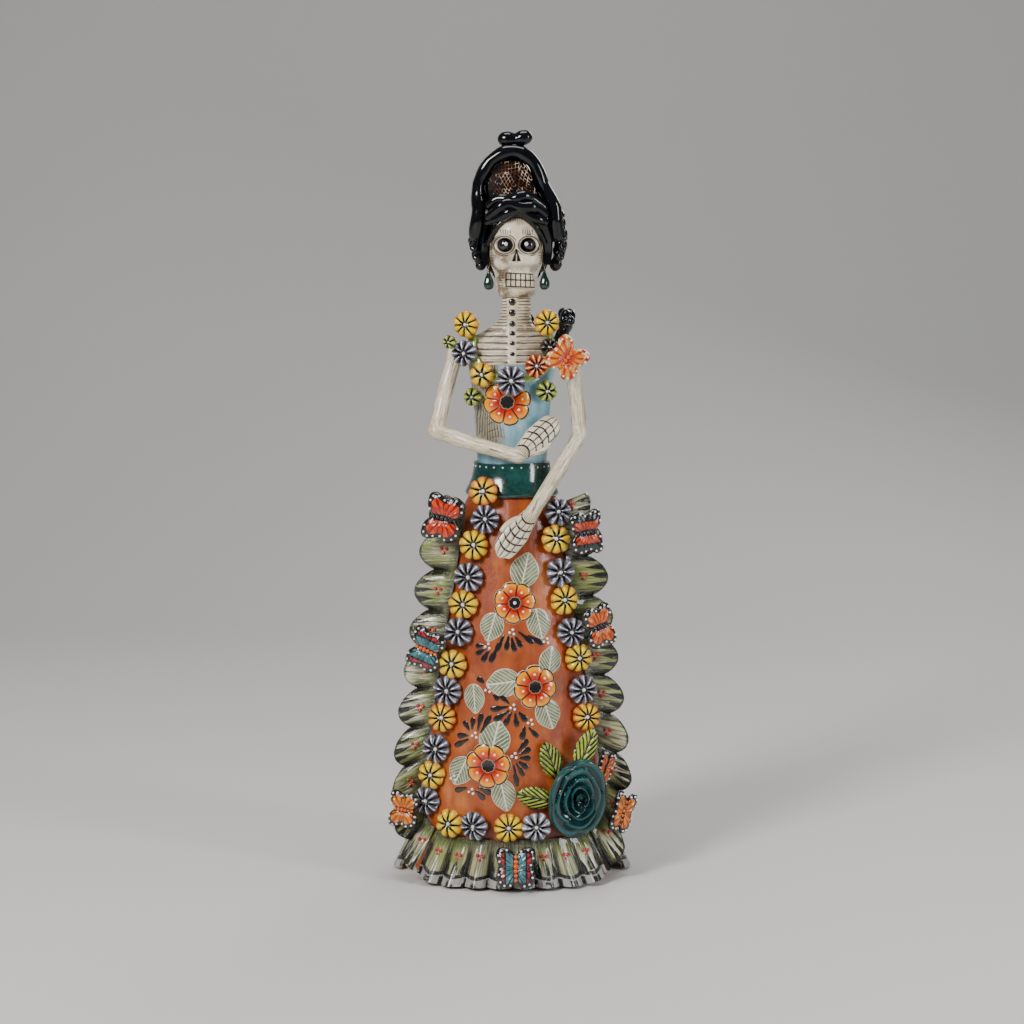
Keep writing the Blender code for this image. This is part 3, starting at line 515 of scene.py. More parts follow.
def ruffle_glaze(name, hem):
    """Sage glaze over a frill: local is (share of the width, lobes passed, 0 in a crease to 1 on a lobe)."""
    g = Glaze(name, roughness=0.22, coat=0.6)
    width, passed, swell = g.local
    across = g.minus(g.math("FRACT", g.plus(passed, 100.0)), 0.5)
    number = g.math("FLOOR", g.plus(passed, 100.0))
    beside = g.times(g.size(across), 2.0)
    grain = g.vector(g.times(width, 1.3), g.times(passed, 13.0), 0.0)
    pleats = g.noise(1.0, 3, None, grain)
    # The pleats' tone, dark olive to sage, is partly the glaze's mottle and partly painted shade and light on
    # the pleats, which the same noise raises in the bump.
    colour = g.mix(g.ease(pleats, 0.32, 0.66), (0.075, 0.078, 0.024), (0.44, 0.42, 0.24))
    colour = g.mix(g.times(g.ease(g.noise(30, 4), 0.47, 0.62), 0.65), colour, (0.20, 0.26, 0.03))
    # Painted highlight: pale cream on the raised pleats away from the inner edge.
    painted_highlight = g.all(g.ease(g.noise(24, 3), 0.48, 0.64), g.ease(width, 0.2, 0.5), g.ease(pleats, 0.42, 0.56))
    colour = g.mix(g.times(painted_highlight, 0.85), colour, (0.74, 0.70, 0.54))
    # Painted shade: near-black in the creases between the lobes.
    crease = g.all(g.ease(swell, 0.80, 0.42), g.ease(width, 0.05, 0.35))
    colour = g.mix(g.times(crease, 0.95), colour, (0.014, 0.015, 0.006))
    # Painted shade: near-black along the inner third, where the frill meets the skirt.
    colour = g.mix(g.times(g.ease(width, 0.34, 0.02), 0.85), colour, (0.022, 0.024, 0.008))
    pick = g.math("SINE", g.times(number, 2.3))
    bent = g.plus(across, g.times(g.minus(g.noise(60, 2), 0.5), 0.14))
    if hem:
        petals = g.minus(g.stripes(bent, 3.0), g.times(g.ease(width, 0.40, 0.66), 0.62))
        strokes = g.all(
            g.ease(petals, 0.10, -0.04), g.ease(width, 0.42, 0.46), g.ease(width, 0.77, 0.74),
            g.ease(pick, -0.2, 0.0),
        )
    else:
        petals = g.minus(g.stripes(bent, 5.0), g.times(g.ease(width, 0.42, 0.9), 0.60))
        strokes = g.all(g.ease(petals, 0.10, -0.04), g.ease(width, 0.46, 0.5), g.ease(pick, -0.75, -0.6))
    strokes = g.all(strokes, g.ease(beside, 0.90, 0.8), g.ease(g.noise(240, 2), 0.22, 0.36))
    colour = g.mix(strokes, colour, BLACK)
    if hem:
        scallop = g.plus(width, g.times(beside, 0.06))
        band = g.ease(scallop, 0.82, 0.84)
        colour = g.mix(band, colour, g.mix(g.noise(90, 3), (0.12, 0.115, 0.10), (0.56, 0.54, 0.50)))
        dabs = g.all(band, g.ease(g.stripes(passed, 2.0), 0.60, 0.45), g.ease(scallop, 0.87, 0.90))
        colour = g.mix(g.all(dabs, g.ease(g.noise(150, 1), 0.34, 0.44)), colour, BLACK)
        line = g.all(g.ease(scallop, 0.77, 0.79), g.ease(scallop, 0.87, 0.85))
        colour = g.mix(line, colour, BLACK)
    else:
        ragged = g.plus(width, g.times(g.noise(150, 2), 0.16))
        colour = g.mix(g.times(g.ease(ragged, 1.00, 1.05), 0.9), colour, (0.014, 0.022, 0.004))
        flecks = g.all(g.ease(ragged, 1.09, 1.12), g.ease(g.noise(300, 1), 0.5, 0.6))
        colour = g.mix(flecks, colour, (0.34, 0.42, 0.08))
    return g.done(colour, None, g.times(pleats, 2.6), 0.8, 1.0)


def butterfly_glaze(name, cells, ribs, border=BLACK, strips=None):
    """Painted wings: local is (across, angle round the wing root, share of the outline).

    Cells run out from the body between darker ribs. Strips, where given, run beside the body instead. With
    border None the wings have no dark border but pale tips and a dark middle.
    """
    g = Glaze(name, roughness=0.18, coat=0.6)
    across, angle, share = g.local
    side = g.size(across)
    fan = g.stripes(angle, WING_RIBS)
    streak = g.ease(g.noise(260, 3), 0.35, 0.65)
    colour = g.mix(streak, cells, [c * 0.55 for c in cells])
    colour = g.mix(g.ease(fan, 0.46, 0.78), colour, ribs)
    if strips:
        inner, outer = strips
        colour = g.mix(g.ease(side, 0.52, 0.56), g.mix(streak, inner, [c * 0.5 for c in inner]), outer)
        gap = g.any(g.all(g.ease(side, 0.46, 0.50), g.ease(side, 0.60, 0.56)), g.ease(fan, 0.74, 0.90))
        colour = g.mix(gap, colour, border)
    if border is None:
        tips = g.all(g.ease(share, 0.80, 0.97), g.ease(fan, 0.42, 0.22))
        colour = g.mix(tips, colour, (0.88, 0.70, 0.34))
        colour = g.mix(g.all(g.ease(share, 0.62, 0.30), g.ease(side, 0.5, 0.2)), colour, (0.50, 0.03, 0.012))
        return g.done(colour, None, g.times(fan, -2.0), 0.6, 0.6)
    rough_edge = g.plus(share, g.times(g.minus(g.noise(260, 2), 0.5), 0.14))
    colour = g.mix(g.ease(rough_edge, 0.72, 0.76), colour, border)
    colour = g.mix(g.ease(side, 0.17, 0.11), colour, border)
    return g.done(colour, None, g.times(fan, -1.2), 0.6, 0.6)


def bodice_glaze():
    g = Glaze("bodice_glaze", roughness=0.25, coat=0.5)
    x, height, _ = g.local
    colour = g.mix(g.ease(g.noise(60, 4, (1, 1, 0.5)), 0.3, 0.7), (0.11, 0.29, 0.37), (0.38, 0.60, 0.70))
    side = g.plus(x, g.times(g.noise(70, 3), 14.0))
    brown = g.all(g.ease(side, 4.0, -5.0), g.ease(height, 284.0, 294.0))
    clay = g.mix(g.noise(90, 3), (0.12, 0.085, 0.04), (0.46, 0.40, 0.26))
    colour = g.mix(g.times(brown, 0.9), colour, clay)
    bent = g.plus(x, g.times(g.noise(45, 1), 6.0))
    hatch = g.all(g.ease(g.stripes(bent, 0.55), 0.60, 0.82), brown, g.ease(g.noise(110, 1), 0.40, 0.48))
    arcs = g.plus(g.times(g.math("POWER", g.plus(x, 9.0), 2.0), 0.05), height)
    arcs = g.all(
        g.ease(g.stripes(arcs, 0.2), 0.84, 0.95), brown, g.ease(height, 316.0, 308.0),
        g.ease(g.noise(90, 1), 0.44, 0.52),
    )
    colour = g.mix(g.times(g.any(hatch, arcs), 0.9), colour, (0.025, 0.016, 0.010))
    pale = g.all(g.ease(g.noise(45, 3), 0.5, 0.65), g.ease(height, 300.0, 284.0))
    colour = g.mix(g.times(pale, 0.5), colour, (0.60, 0.66, 0.66))
    return g.done(colour, None, g.times(g.any(hatch, arcs), -0.6), 0.4)


def hair_glaze():
    """Near-black glaze over combed clay: local is (along the strands, across them) in mm."""
    g = Glaze("hair_glaze", roughness=0.14, coat=0.7, coat_roughness=0.05)
    g.shader.inputs["Specular IOR Level"].default_value = 0.1
    along, around, _ = g.local
    strands = g.noise(1.0, 2, None, g.vector(g.times(along, 0.05), g.times(around, 0.35), 0.0))
    colour = g.mix(g.ease(g.noise(50, 3), 0.4, 0.7), (0.0012, 0.0012, 0.0016), (0.002, 0.004, 0.007))
    worn = g.all(g.ease(g.noise(95, 2), 0.62, 0.72), g.ease(g.noise(600, 2), 0.4, 0.6))
    colour = g.mix(g.times(worn, 0.35), colour, (0.07, 0.026, 0.010))
    return g.done(colour, None, g.times(strands, 2.0), 0.12, 0.5)


def comb_glaze():
    """Black slip scratched through to the copper-coloured clay: local is (across, up, depth) on the comb."""
    g = Glaze("comb_glaze", roughness=0.5, coat=0.0)
    g.shader.inputs["Specular IOR Level"].default_value = 0.08
    across, up, _ = g.local
    shake = g.times(g.noise(80, 2), 0.12)

    def scratched(over, rise, count):
        way = g.plus(g.times(across, over), g.times(up, rise))
        return g.ease(g.stripes(g.plus(way, shake), count), 0.80, 0.95)

    grid = g.any(scratched(1.0, 0.15, 7.5), scratched(-0.1, 1.0, 11.0))
    grid = g.all(grid, g.ease(up, 0.62, 0.68), g.ease(across, -0.60, -0.20), g.ease(across, 0.36, 0.26))
    ladder = g.all(g.any(scratched(0.6, 1.0, 10.0), scratched(1.0, -0.4, 6.0)), g.ease(across, 0.24, 0.34))
    weave = g.any(scratched(1.0, 0.8, 6.5), scratched(1.0, -1.0, 6.5))
    weave = g.all(
        weave, g.ease(across, 0.26, 0.16), g.ease(up, 0.72, 0.64), g.ease(g.noise(90, 2), 0.38, 0.54),
    )
    broken = g.ease(g.noise(260, 3), 0.38, 0.50)
    lines = g.all(g.any(grid, ladder, weave), broken, g.ease(g.noise(70, 2), 0.30, 0.42))
    copper = g.mix(g.ease(g.noise(150, 2), 0.4, 0.6), (0.16, 0.040, 0.010), (0.84, 0.60, 0.42))
    colour = g.mix(lines, (0.002, 0.0015, 0.0015), copper)
    return g.done(colour, None, g.times(lines, -1.0), 0.5, 0.5)


def rose_glaze():
    """Teal glaze, deep in the rose's folds, with a painted highlight in pale teal on its rims: local is
    (nearness to a rim, share, 0).
    """
    g = Glaze("rose_glaze", roughness=0.13, coat=0.7)
    g.shader.inputs["Specular IOR Level"].default_value = 0.3
    rim = g.local[0]
    colour = g.mix(g.ease(g.noise(60, 4), 0.35, 0.7), (0.0006, 0.011, 0.014), (0.0018, 0.036, 0.040))
    # Painted highlight: pale teal along the petals' rims.
    colour = g.mix(g.times(g.ease(rim, 0.45, 1.0), 0.5), colour, (0.022, 0.135, 0.135))
    return g.done(colour, None, None, 0.3)


# ---------------------------------------------------------------- the body's surfaces, as in the CAD
DEPTH_SHARE = 0.85
SKIRT_HALF_WIDTH = ((0, 66), (60, 62), (120, 56), (180, 48), (230, 40), (250, 33), (262, 25.5))
SKIRT_WALL = 5.0
TORSO = ((262.3, 22.5, 19), (278, 23.5, 20), (300, 24.5, 20.5), (325, 26.5, 20.5), (345, 29.5, 18.5))
CHEST = (
    (345.3, 29.5, 18.5), (355, 30.5, 15.5), (362, 28.5, 13), (367, 19, 11), (372, 11.5, 10.2),
    (380, 9.8, 9.8), (389.4, 9.6, 9.6),
)
PEG_RADIUS, PEG_TOP = 5.5, 407.0
HEAD_X = 3.0


def oval_point(half_width, half_depth, turn, height, middle_y=0.0, lift=0.0):
    """A point of a level oval; turn is 0 at the front and grows towards the figure's left."""
    x = (half_width + lift) * math.sin(turn)
    return Vector((x, middle_y - (half_depth + lift) * math.cos(turn), height))


def skirt_point(x, height, lift=0.0, around=0.0):
    """A point of the skirt x mm from the middle of its front, or of the side that around turns to."""
    half_width = soft_level(SKIRT_HALF_WIDTH, height, 7)[0]
    turn = around + math.asin(clamp(x / half_width, -0.98, 0.98))
    return oval_point(half_width, half_width * DEPTH_SHARE, turn, height, 0, lift)


def bodice_point(x, height, lift=0.0, around=0.0):
    half_width, half_depth = soft_level(TORSO, height, 5)
    turn = around + math.asin(clamp(x / half_width, -0.98, 0.98))
    return oval_point(half_width, half_depth, turn, height, 0, lift)


def outward(surface, x, height, around=0.0):
    """The way out of a surface."""
    return (surface(x, height, 1.0, around) - surface(x, height, 0.0, around)).normalized()


def skirt_front(x, height):
    """The CAD's own skirt surface and the way out of it, where garlands and ruffles are fixed."""
    half_width = level(SKIRT_HALF_WIDTH, height)[0]
    half_depth = half_width * DEPTH_SHARE
    y = -half_depth * math.sqrt(1 - min(abs(x) / half_width, 0.97) ** 2)
    return Vector((x, y, height)), Vector((x / half_width**2, y / half_depth**2, 0)).normalized()


def body_front(x, height):
    half_width, half_depth = level(TORSO if height <= TORSO[-1][0] else CHEST, height)
    y = -half_depth * math.sqrt(1 - min(abs(x) / half_width, 0.95) ** 2)
    return Vector((x, y, height)), Vector((x / half_width**2, y / half_depth**2, 0)).normalized()


def solid(rings, name, glazes, body, node, **looks):
    """A closed piece through rings of (point, local) pairs."""
    clay = Clay()
    clay.loft(rings)
    clay.finish(name, glazes, body, node, **looks)


def slab(grid, thickness, name, glazes, body, node):
    """A closed piece of even thickness on a grid of (point, local) pairs."""
    clay = Clay()
    clay.sheet(grid, thickness)
    clay.finish(name, glazes, body, node)


def head_circle(radius, height, sides):
    """A level circle round the axis of the head's peg, as (point, local) pairs."""
    axis = Vector((HEAD_X, 0, 0))
    return [(oval_point(radius, radius, t, height) + axis, (0, height, 0)) for t in turns(sides)]


def build_skirt():
    sides, rows = 144, 96
    low, high = SKIRT_HALF_WIDTH[0][0], SKIRT_HALF_WIDTH[-1][0]

    def wall(height, lift, uneven):
        half_width = soft_level(SKIRT_HALF_WIDTH, height, 7)[0]
        ring = []
        for turn in turns(sides):
            point = oval_point(half_width, half_width * DEPTH_SHARE, turn, height, 0, lift)
            point += oval_point(1, 1, turn, 0) * 0.22 * uneven * wobble(point, 0.09)
            ring.append((point, (turn, height, 0)))
        return ring

    heights = [low + (high - low) * i / rows for i in range(rows + 1)]
    clay = Clay()
    outside = [clay.ring(wall(h, 0, ease(h, 0, 6))) for h in heights]
    inside = [clay.ring(wall(h, -SKIRT_WALL, 0)) for h in heights[::4]]
    clay.shell(outside, inside)
    clay.finish("skirt_glazed", [GLAZE["terracotta"], GLAZE["clay"]], "root", "skirt")


def build_torso():
    rows, sides, wall = 48, 96, 4.0
    low, high = TORSO[0][0], TORSO[-1][0]
    clay = Clay()
    outside, inside = [], []
    for i in range(rows + 1):
        height = low + (high - low) * i / rows
        half_width, half_depth = soft_level(TORSO, height, 4)
        outside.append(clay.ring([
            (oval_point(half_width, half_depth, t, height), (half_width * math.sin(t), height, math.cos(t)))
            for t in turns(sides)
        ]))
        if i % 8 == 0:
            inner = [oval_point(half_width, half_depth, t, height, 0, -wall) for t in turns(sides)]
            inside.append(clay.ring([(point, (0, height, 0)) for point in inner]))
    clay.shell(outside, inside)
    clay.finish("bodice_glazed", [GLAZE["bodice"], GLAZE["clay"]], "root", "torso")


def build_waistband():
    """A sash with a rolled lower edge and a row of white dots along its top."""
    profile = (
        (257.4, 29.4), (257.1, 30.8), (258.3, 31.7), (260.5, 31.0), (264.0, 29.1),
        (268.5, 27.3), (273.5, 26.3), (277.5, 25.9), (279.2, 25.8), (279.5, 24.8),
        (279.2, 24.1), (270, 24.9), (263.5, 25.1), (262.6, 26.6),
    )
    clay = Clay()
    sides = 96
    rings = []
    for height, half_width in profile:
        rings.append(clay.ring([
            (
                oval_point(half_width, half_width * 0.872, 2 * math.pi * k / sides, height)
                + UP * 0.35 * math.sin(6 * math.pi * k / sides),
                (k, height, 0),
            )
            for k in range(sides)
        ]))
    clay.bridge(rings + [rings[0]], 0)
    clay.finish("waistband_glazed", GLAZE["teal"], "root", "waistband")
    for turn in turns(26):
        DOTS["white"].dome(oval_point(25.9, 22.6, turn, 276.8), oval_point(1, 0.85, turn, 0), 0.7)


RIB_PITCH, RING_PITCH = 4.2, 3.1
CHEST_ROUNDED = (346, 388)  # the heights between which the chest's corners are rounded


def build_chest():
    """Collar bones, ribs and neck in bone slip, with the black beads of the spine down the middle."""
    sides = 120
    clay = Clay()
    rings = []
    for i in range(97):
        height = CHEST[0][0] + (CHEST[-1][0] - CHEST[0][0]) * i / 96
        rounded = CHEST_ROUNDED[0] < height < CHEST_ROUNDED[1]
        half_width, half_depth = soft_level(CHEST, height, 1.6) if rounded else level(CHEST, height)
        lean = clamp((height - 362) / 20) * HEAD_X
        ring = []
        for turn in turns(sides):
            point = oval_point(half_width, half_depth, turn, height)
            front = ease(math.cos(turn), 0.1, 0.6)
            ribs = math.sin(height * 2 * math.pi / RIB_PITCH) * ease(abs(point.x), 2.5, 5)
            spine = ease(abs(point.x + lean), 3.6, 2.2)
            lift = front * (0.55 * ribs * ease(height, 368, 362) + 0.5 * spine)
            lift += 0.28 * math.sin(height * 2 * math.pi / RING_PITCH) * ease(height, 368, 374)
            point = oval_point(half_width, half_depth, turn, height, 0, lift)
            point.x += lean
            ring.append((point, (point.x, height, math.cos(turn))))
        rings.append(ring)
    peg = ((CHEST[-1][0], PEG_RADIUS), (PEG_TOP - 1.5, PEG_RADIUS), (PEG_TOP, PEG_RADIUS - 1.5))
    for height, radius in peg:
        rings.append(head_circle(radius, height, sides))
    clay.loft(rings)
    beads = (  # height, radius, rise
        (386.4, 2.5, 2.0), (379.2, 2.4, 1.9), (371.8, 2.2, 1.8),
        (365.2, 2.1, 1.5), (358.8, 1.9, 1.4), (351.8, 1.8, 1.2),
    )
    for height, radius, flat in beads:
        depth = soft_level(CHEST, height, 1.6)[1] + 0.4
        clay.dome((0.3, -depth, height), FRONT, radius, flat * 0.45, slot=1, sides=16)
    clay.finish("chest_and_neck_bone", [GLAZE["chest"], GLAZE["brush"]], "root", "chest_and_neck")


def chest_marks(g):
    """Hatching beside the spine, brown painted shade in the grooves between the ribs, and brown stains."""
    x, height, front = g.local
    side = g.size(x)
    uneven = g.times(g.noise(120, 2), 1.6)
    rows = g.math("SINE", g.times(g.plus(height, uneven), 2 * math.pi / RIB_PITCH))
    rib_zone = g.all(g.ease(height, 370.0, 366.0), g.ease(side, 2.2, 3.4))
    # Painted shade in brown in the grooves between the ribs; the stains below join it.
    stain_and_shade = g.all(g.ease(rows, 0.35, -0.9), rib_zone)
    stain = g.all(g.ease(g.noise(48, 4), 0.45, 0.7), g.ease(height, 385.0, 360.0))
    stain_and_shade = g.times(g.any(stain_and_shade, g.times(stain, 0.6)), 0.8)
    lines = g.all(g.ease(rows, -0.72, -0.92), rib_zone, g.ease(g.noise(90, 2), 0.30, 0.45))
    fine = g.all(g.ease(g.stripes(g.plus(height, uneven), 0.8), 0.70, 0.9), rib_zone)
    fine = g.times(g.all(fine, g.ease(g.noise(130, 2), 0.48, 0.6)), 0.8)
    neck = g.all(
        g.ease(g.stripes(g.plus(height, g.times(uneven, 0.5)), 0.5), 0.62, 0.85),
        g.ease(side, 3.2, 3.8), g.ease(height, 362.0, 368.0), g.ease(g.noise(200, 1), 0.36, 0.44),
        g.ease(front, -0.2, 0.1),
    )
    return stain_and_shade, g.any(lines, fine, neck)


def build_neckline_trim():
    stations = (
        (-28, 375), (-25.5, 362), (-25, 352), (-19, 341), (0, 334),
        (19, 341), (25, 352), (24.5, 362), (22.5, 376),
    )
    grid = []
    steps = 104
    for i in range(steps + 1):
        x, height = blend([(*s, 0) for s in stations], i / steps)[:2]
        row = []
        for j in range(7):
            v = j / 6
            over, up = x * (0.9 + 0.16 * v), height + 2.2 - 4.4 * v
            point, out = body_front(over, min(up, SHOULDER_HEIGHT))
            point = point + out * (1.9 + 0.8 * math.sin(math.pi * v))
            row.append((Vector((point.x, point.y, max(up, point.z))), (i / steps, v, 0)))
        grid.append(row)
    slab(grid, 1.5, "neckline_trim_glazed", GLAZE["lime"], "root", "neckline_trim")


# ---------------------------------------------------------------- painted sprigs on the skirt and the bodice
PAINT_LIFT = 0.55


def patch(clay, surface, x, height, turn, outline, lift, local, slot=0, around=0.0, segments=48, relief=None):
    """A raised painted shape. outline(angle) is its reach; local(share, angle) is what the glaze reads."""
    rings = []
    for share in (1.0, 0.985, 0.93, 0.8, 0.62, 0.45, 0.3, 0.16, 0.05):
        ring = []
        for angle in turns(segments):
            reach = outline(angle) * share
            step = Vector((math.sin(angle + turn) * reach, math.cos(angle + turn) * reach))
            up = lift * (1 - share**8) ** 0.5 if share < 1 else -0.3
            if relief and share < 1:
                up += relief(share, angle)
            ring.append((surface(x + step.x, height + step.y, up, around), local(share, angle)))
        rings.append(ring)
    clay.loft(rings, slot)


def paint_poppy(surface, x, height, radius, petals=7, turn=0.0, around=0.0):
    """A seven-petalled poppy with a white dot on each petal."""
    seed = dice.random()

    def phase(angle):
        return abs(((angle * petals / (2 * math.pi)) % 1.0) - 0.5) * 2

    def outline(angle):
        return radius * (0.83 + 0.17 * math.sqrt(max(1 - phase(angle) ** 2.2, 0)))

    def relief(share, angle):
        puff = ease(share, 0.25, 0.5) * (1 - phase(angle) ** 4) * ease(share, 0.98, 0.8)
        return 0.45 * puff - 0.25 * ease(share, 0.3, 0.2)

    patch(
        PAINT["poppies"], surface, x, height, turn, outline, PAINT_LIFT + 0.25,
        lambda share, angle: (share, phase(angle), seed), 0, around, petals * 12, relief,
    )
    for i in range(petals):
        angle = turn + 2 * math.pi * (i + 0.5) / petals
        reach = radius * (0.56 + 0.05 * (i % 2))
        place = (x + math.sin(angle) * reach, height + math.cos(angle) * reach)
        DOTS["white"].dome(surface(*place, PAINT_LIFT + 0.5, around), outward(surface, *place, around), 0.95)


def paint_leaf(surface, x, height, length, half_width, turn, around=0.0):
    """A broad leaf with scratched veins and a pale scratched border."""
    def outline(angle):
        """A rounded leaf with its point straight up."""
        narrow = 1 / math.sqrt((math.cos(angle) / (length / 2)) ** 2 + (math.sin(angle) / half_width) ** 2)
        return narrow * (1 + 0.22 * max(math.cos(angle), 0) ** 24)

    def local(share, angle):
        reach = outline(angle) * share
        return (math.sin(angle) * reach / half_width, math.cos(angle) * reach / length + 0.5, share)

    patch(PAINT["leaves"], surface, x, height, turn, outline, PAINT_LIFT * 0.7, local, 0, around)


def paint_stroke(surface, start, end, half_width, around=0.0):
    """One black brush stroke from its thin start to its round end."""
    x, height = ((a + b) / 2 for a, b in zip(start, end))
    over, up = end[0] - start[0], end[1] - start[1]
    length = math.hypot(over, up)

    def outline(angle):
        swell = 1 + 0.35 * math.cos(angle)
        along, aside = abs(math.cos(angle)) / (length * 0.54), abs(math.sin(angle)) / (half_width * swell)
        return (along**2.6 + aside**2.6) ** (-1 / 2.6)

    patch(
        PAINT["strokes"], surface, x, height, math.atan2(over, up), outline, PAINT_LIFT * 0.6,
        lambda share, angle: (share, angle, 0), 0, around, 80,
    )


def paint_dots(surface, x, height, around=0.0):
    """Three white dots side by side."""
    for angle in (0.3, 2.4, 4.5):
        spot = (x + 1.7 * math.sin(angle), height + 1.7 * math.cos(angle))
        DOTS["white"].dome(surface(*spot, 0.5, around), outward(surface, *spot, around), 1.0, 0.9)


def paint_fan(surface, x, height, turn, around=0.0):
    """A cluster of dots with three brush strokes fanning out from it. The angle is in radians, 0 is up."""
    paint_dots(surface, x, height, around)
    for off in (-0.5, 0.0, 0.5):
        way = (math.sin(turn + off), math.cos(turn + off))
        start = (x + way[0] * 2.4, height + way[1] * 2.4)
        end = (x + way[0] * 11.5, height + way[1] * 11.5)
        paint_stroke(surface, start, end, 1.5, around)


POPPIES = (  # x, height, radius, turn in degrees
    (1.8, 188.8, 14.3, 8), (15.2, 133.2, 14.8, 22), (-15.6, 81.2, 15.4, 4),
)
LEAVES = (  # x, height, length, half width, turn in degrees of the tip
    (8.4, 209.5, 21, 9.8, 12), (-13.2, 173.4, 18, 8.0, 196), (17.6, 175.6, 19, 8.0, 168),
    (-4.8, 136.4, 21, 9.4, 262), (25.2, 149.6, 17, 7.4, 8), (23.6, 115.6, 19, 8.4, 162),
    (-24.9, 125.8, 18, 6.8, 176), (-11.5, 98.6, 22, 10.6, 14), (-33.6, 77.0, 19, 8.0, 205),
    (-5.6, 62.8, 20, 8.2, 168),
)
DOT_CLUSTERS = (  # x, height of the middle of three white dots
    (0.1, 169.6), (22.6, 163.0), (-16.0, 160.0), (-15.8, 131.4), (0.7, 120.2), (12.2, 110.0), (-24.6, 100.8),
    (1.6, 88.2), (-38.8, 70.8), (-26.8, 63.4),
)
STROKES = (  # x and height of the thin end, x and height of the round end
    (-2.2, 167.6, -3.8, 157.6), (-0.2, 166, 1.8, 157), (2.3, 166.4, 6.4, 159.8), (4.2, 169.8, 14, 162),
    (10.5, 167.2, 21, 161.2), (-5.2, 167.6, -10.4, 156.8), (-9.4, 160, -14.4, 149.4),
    (-18, 160.6, -24, 159.6), (-17.8, 158.2, -23.6, 154.2), (-15.4, 157.2, -19.6, 149.6),
    (-18.4, 135.6, -22.8, 139), (-12.6, 128.4, -9, 125),
    (-1.8, 122.6, -7.8, 128), (-2.6, 120.6, -14, 118.4), (-2, 118, -11.8, 111.2), (-0.4, 116.8, -4.8, 108.2),
    (2.3, 116.4, 3.2, 107.4), (4.4, 117, 9.6, 111), (11, 106.8, 17.2, 100.2), (8.6, 107.6, 6.4, 99),
    (-28.2, 103.6, -31.8, 109.6), (-26.4, 104.4, -25.6, 112.4), (-22.8, 103.8, -20, 115.6),
    (-20.8, 102, -14.2, 114.4), (-29, 100.6, -36.2, 99.2), (-28.8, 98, -37.8, 92.4),
    (4, 90.8, 10.4, 98.6), (4.8, 88.8, 12.2, 92.8), (4.8, 86.6, 12.2, 86.4), (4, 84.4, 10.4, 79.8),
    (2.8, 83.2, 7.8, 74.8), (1.2, 82.2, 3.4, 68.2),
    (-29.8, 65.6, -37.8, 62.8), (-24.2, 64.4, -18.2, 59), (-22.6, 66.6, -13.8, 63),
)
BACK_SPRIGS = ((math.pi, 0, 150), (math.pi, -30, 96), (math.pi, 30, 96))


def build_paintings():
    for x, height, radius, turn in POPPIES:
        paint_poppy(skirt_point, x, height, radius, 7, math.radians(turn))
    for x, height, length, half_width, turn in LEAVES:
        paint_leaf(skirt_point, x, height, length, half_width, math.radians(turn))
    for x, height in DOT_CLUSTERS:
        paint_dots(skirt_point, x, height)
    for x0, height0, x1, height1 in STROKES:
        paint_stroke(skirt_point, (x0, height0), (x1, height1), 1.5 + 0.35 * dice.random())
    DOTS["white"].dome(skirt_point(1.8, 188.8, 0.9), FRONT, 1.2)
    for around, x, height in BACK_SPRIGS:
        paint_poppy(skirt_point, x, height, 13.5, 7, 0.2, around)
        for turn in (20, 140, 260):
            angle = math.radians(turn)
            spot = (x + math.sin(angle) * 20, height + math.cos(angle) * 20)
            paint_leaf(skirt_point, *spot, 18, 7.8, angle, around)
        for turn in (80, 200, 320):
            angle = math.radians(turn)
            paint_fan(skirt_point, x + math.sin(angle) * 16, height + math.cos(angle) * 16, angle, around)
    paint_poppy(bodice_point, -3.2, 320.5, 16.4, 8, 0.2)
    PAINT["poppies"].finish("painted_poppies", GLAZE["poppy"], "root")
    PAINT["leaves"].finish("painted_leaves", GLAZE["grey_leaf"], "root")
    PAINT["strokes"].finish("painted_strokes", GLAZE["brush"], "root")


# ---------------------------------------------------------------- pressed flowers
FLOWER_RADIUS, FLOWER_THICKNESS, FLOWER_LIFT = 10.0, 6.2, 4.0
STEP_IN_GROUP, STEP_BETWEEN_GROUPS = 18.4, 21.8
GARLANDS = (  # side, flowers, in a group, direction along X, height of the first, how far out at each height
    ("right", 12, 3, -1, 261.5, ((50, 54), (204, 26.4), (224, 24), (243, 15.5), (262, 13.5))),
    (
        "left", 8, 2, 1, 247.0,
        ((50, 54), (150, 41), (170, 35.6), (190, 31.6), (208, 29), (228, 26), (247, 25.5)),
    ),
)
HEM_GARLAND = {"flowers": 4, "in_group": 2, "first_x": -38.5, "height": 42.0}
GARLAND_COLOURS = {
    "right": ("orange", "grey", *("yellow", "grey") * 3, "orange", "grey", "yellow", "grey"),
    "left": ("grey", "yellow", "grey", "yellow", "grey", "yellow", "grey", "orange"),
    "hem": ("yellow", "grey", "yellow", "silver"),
}


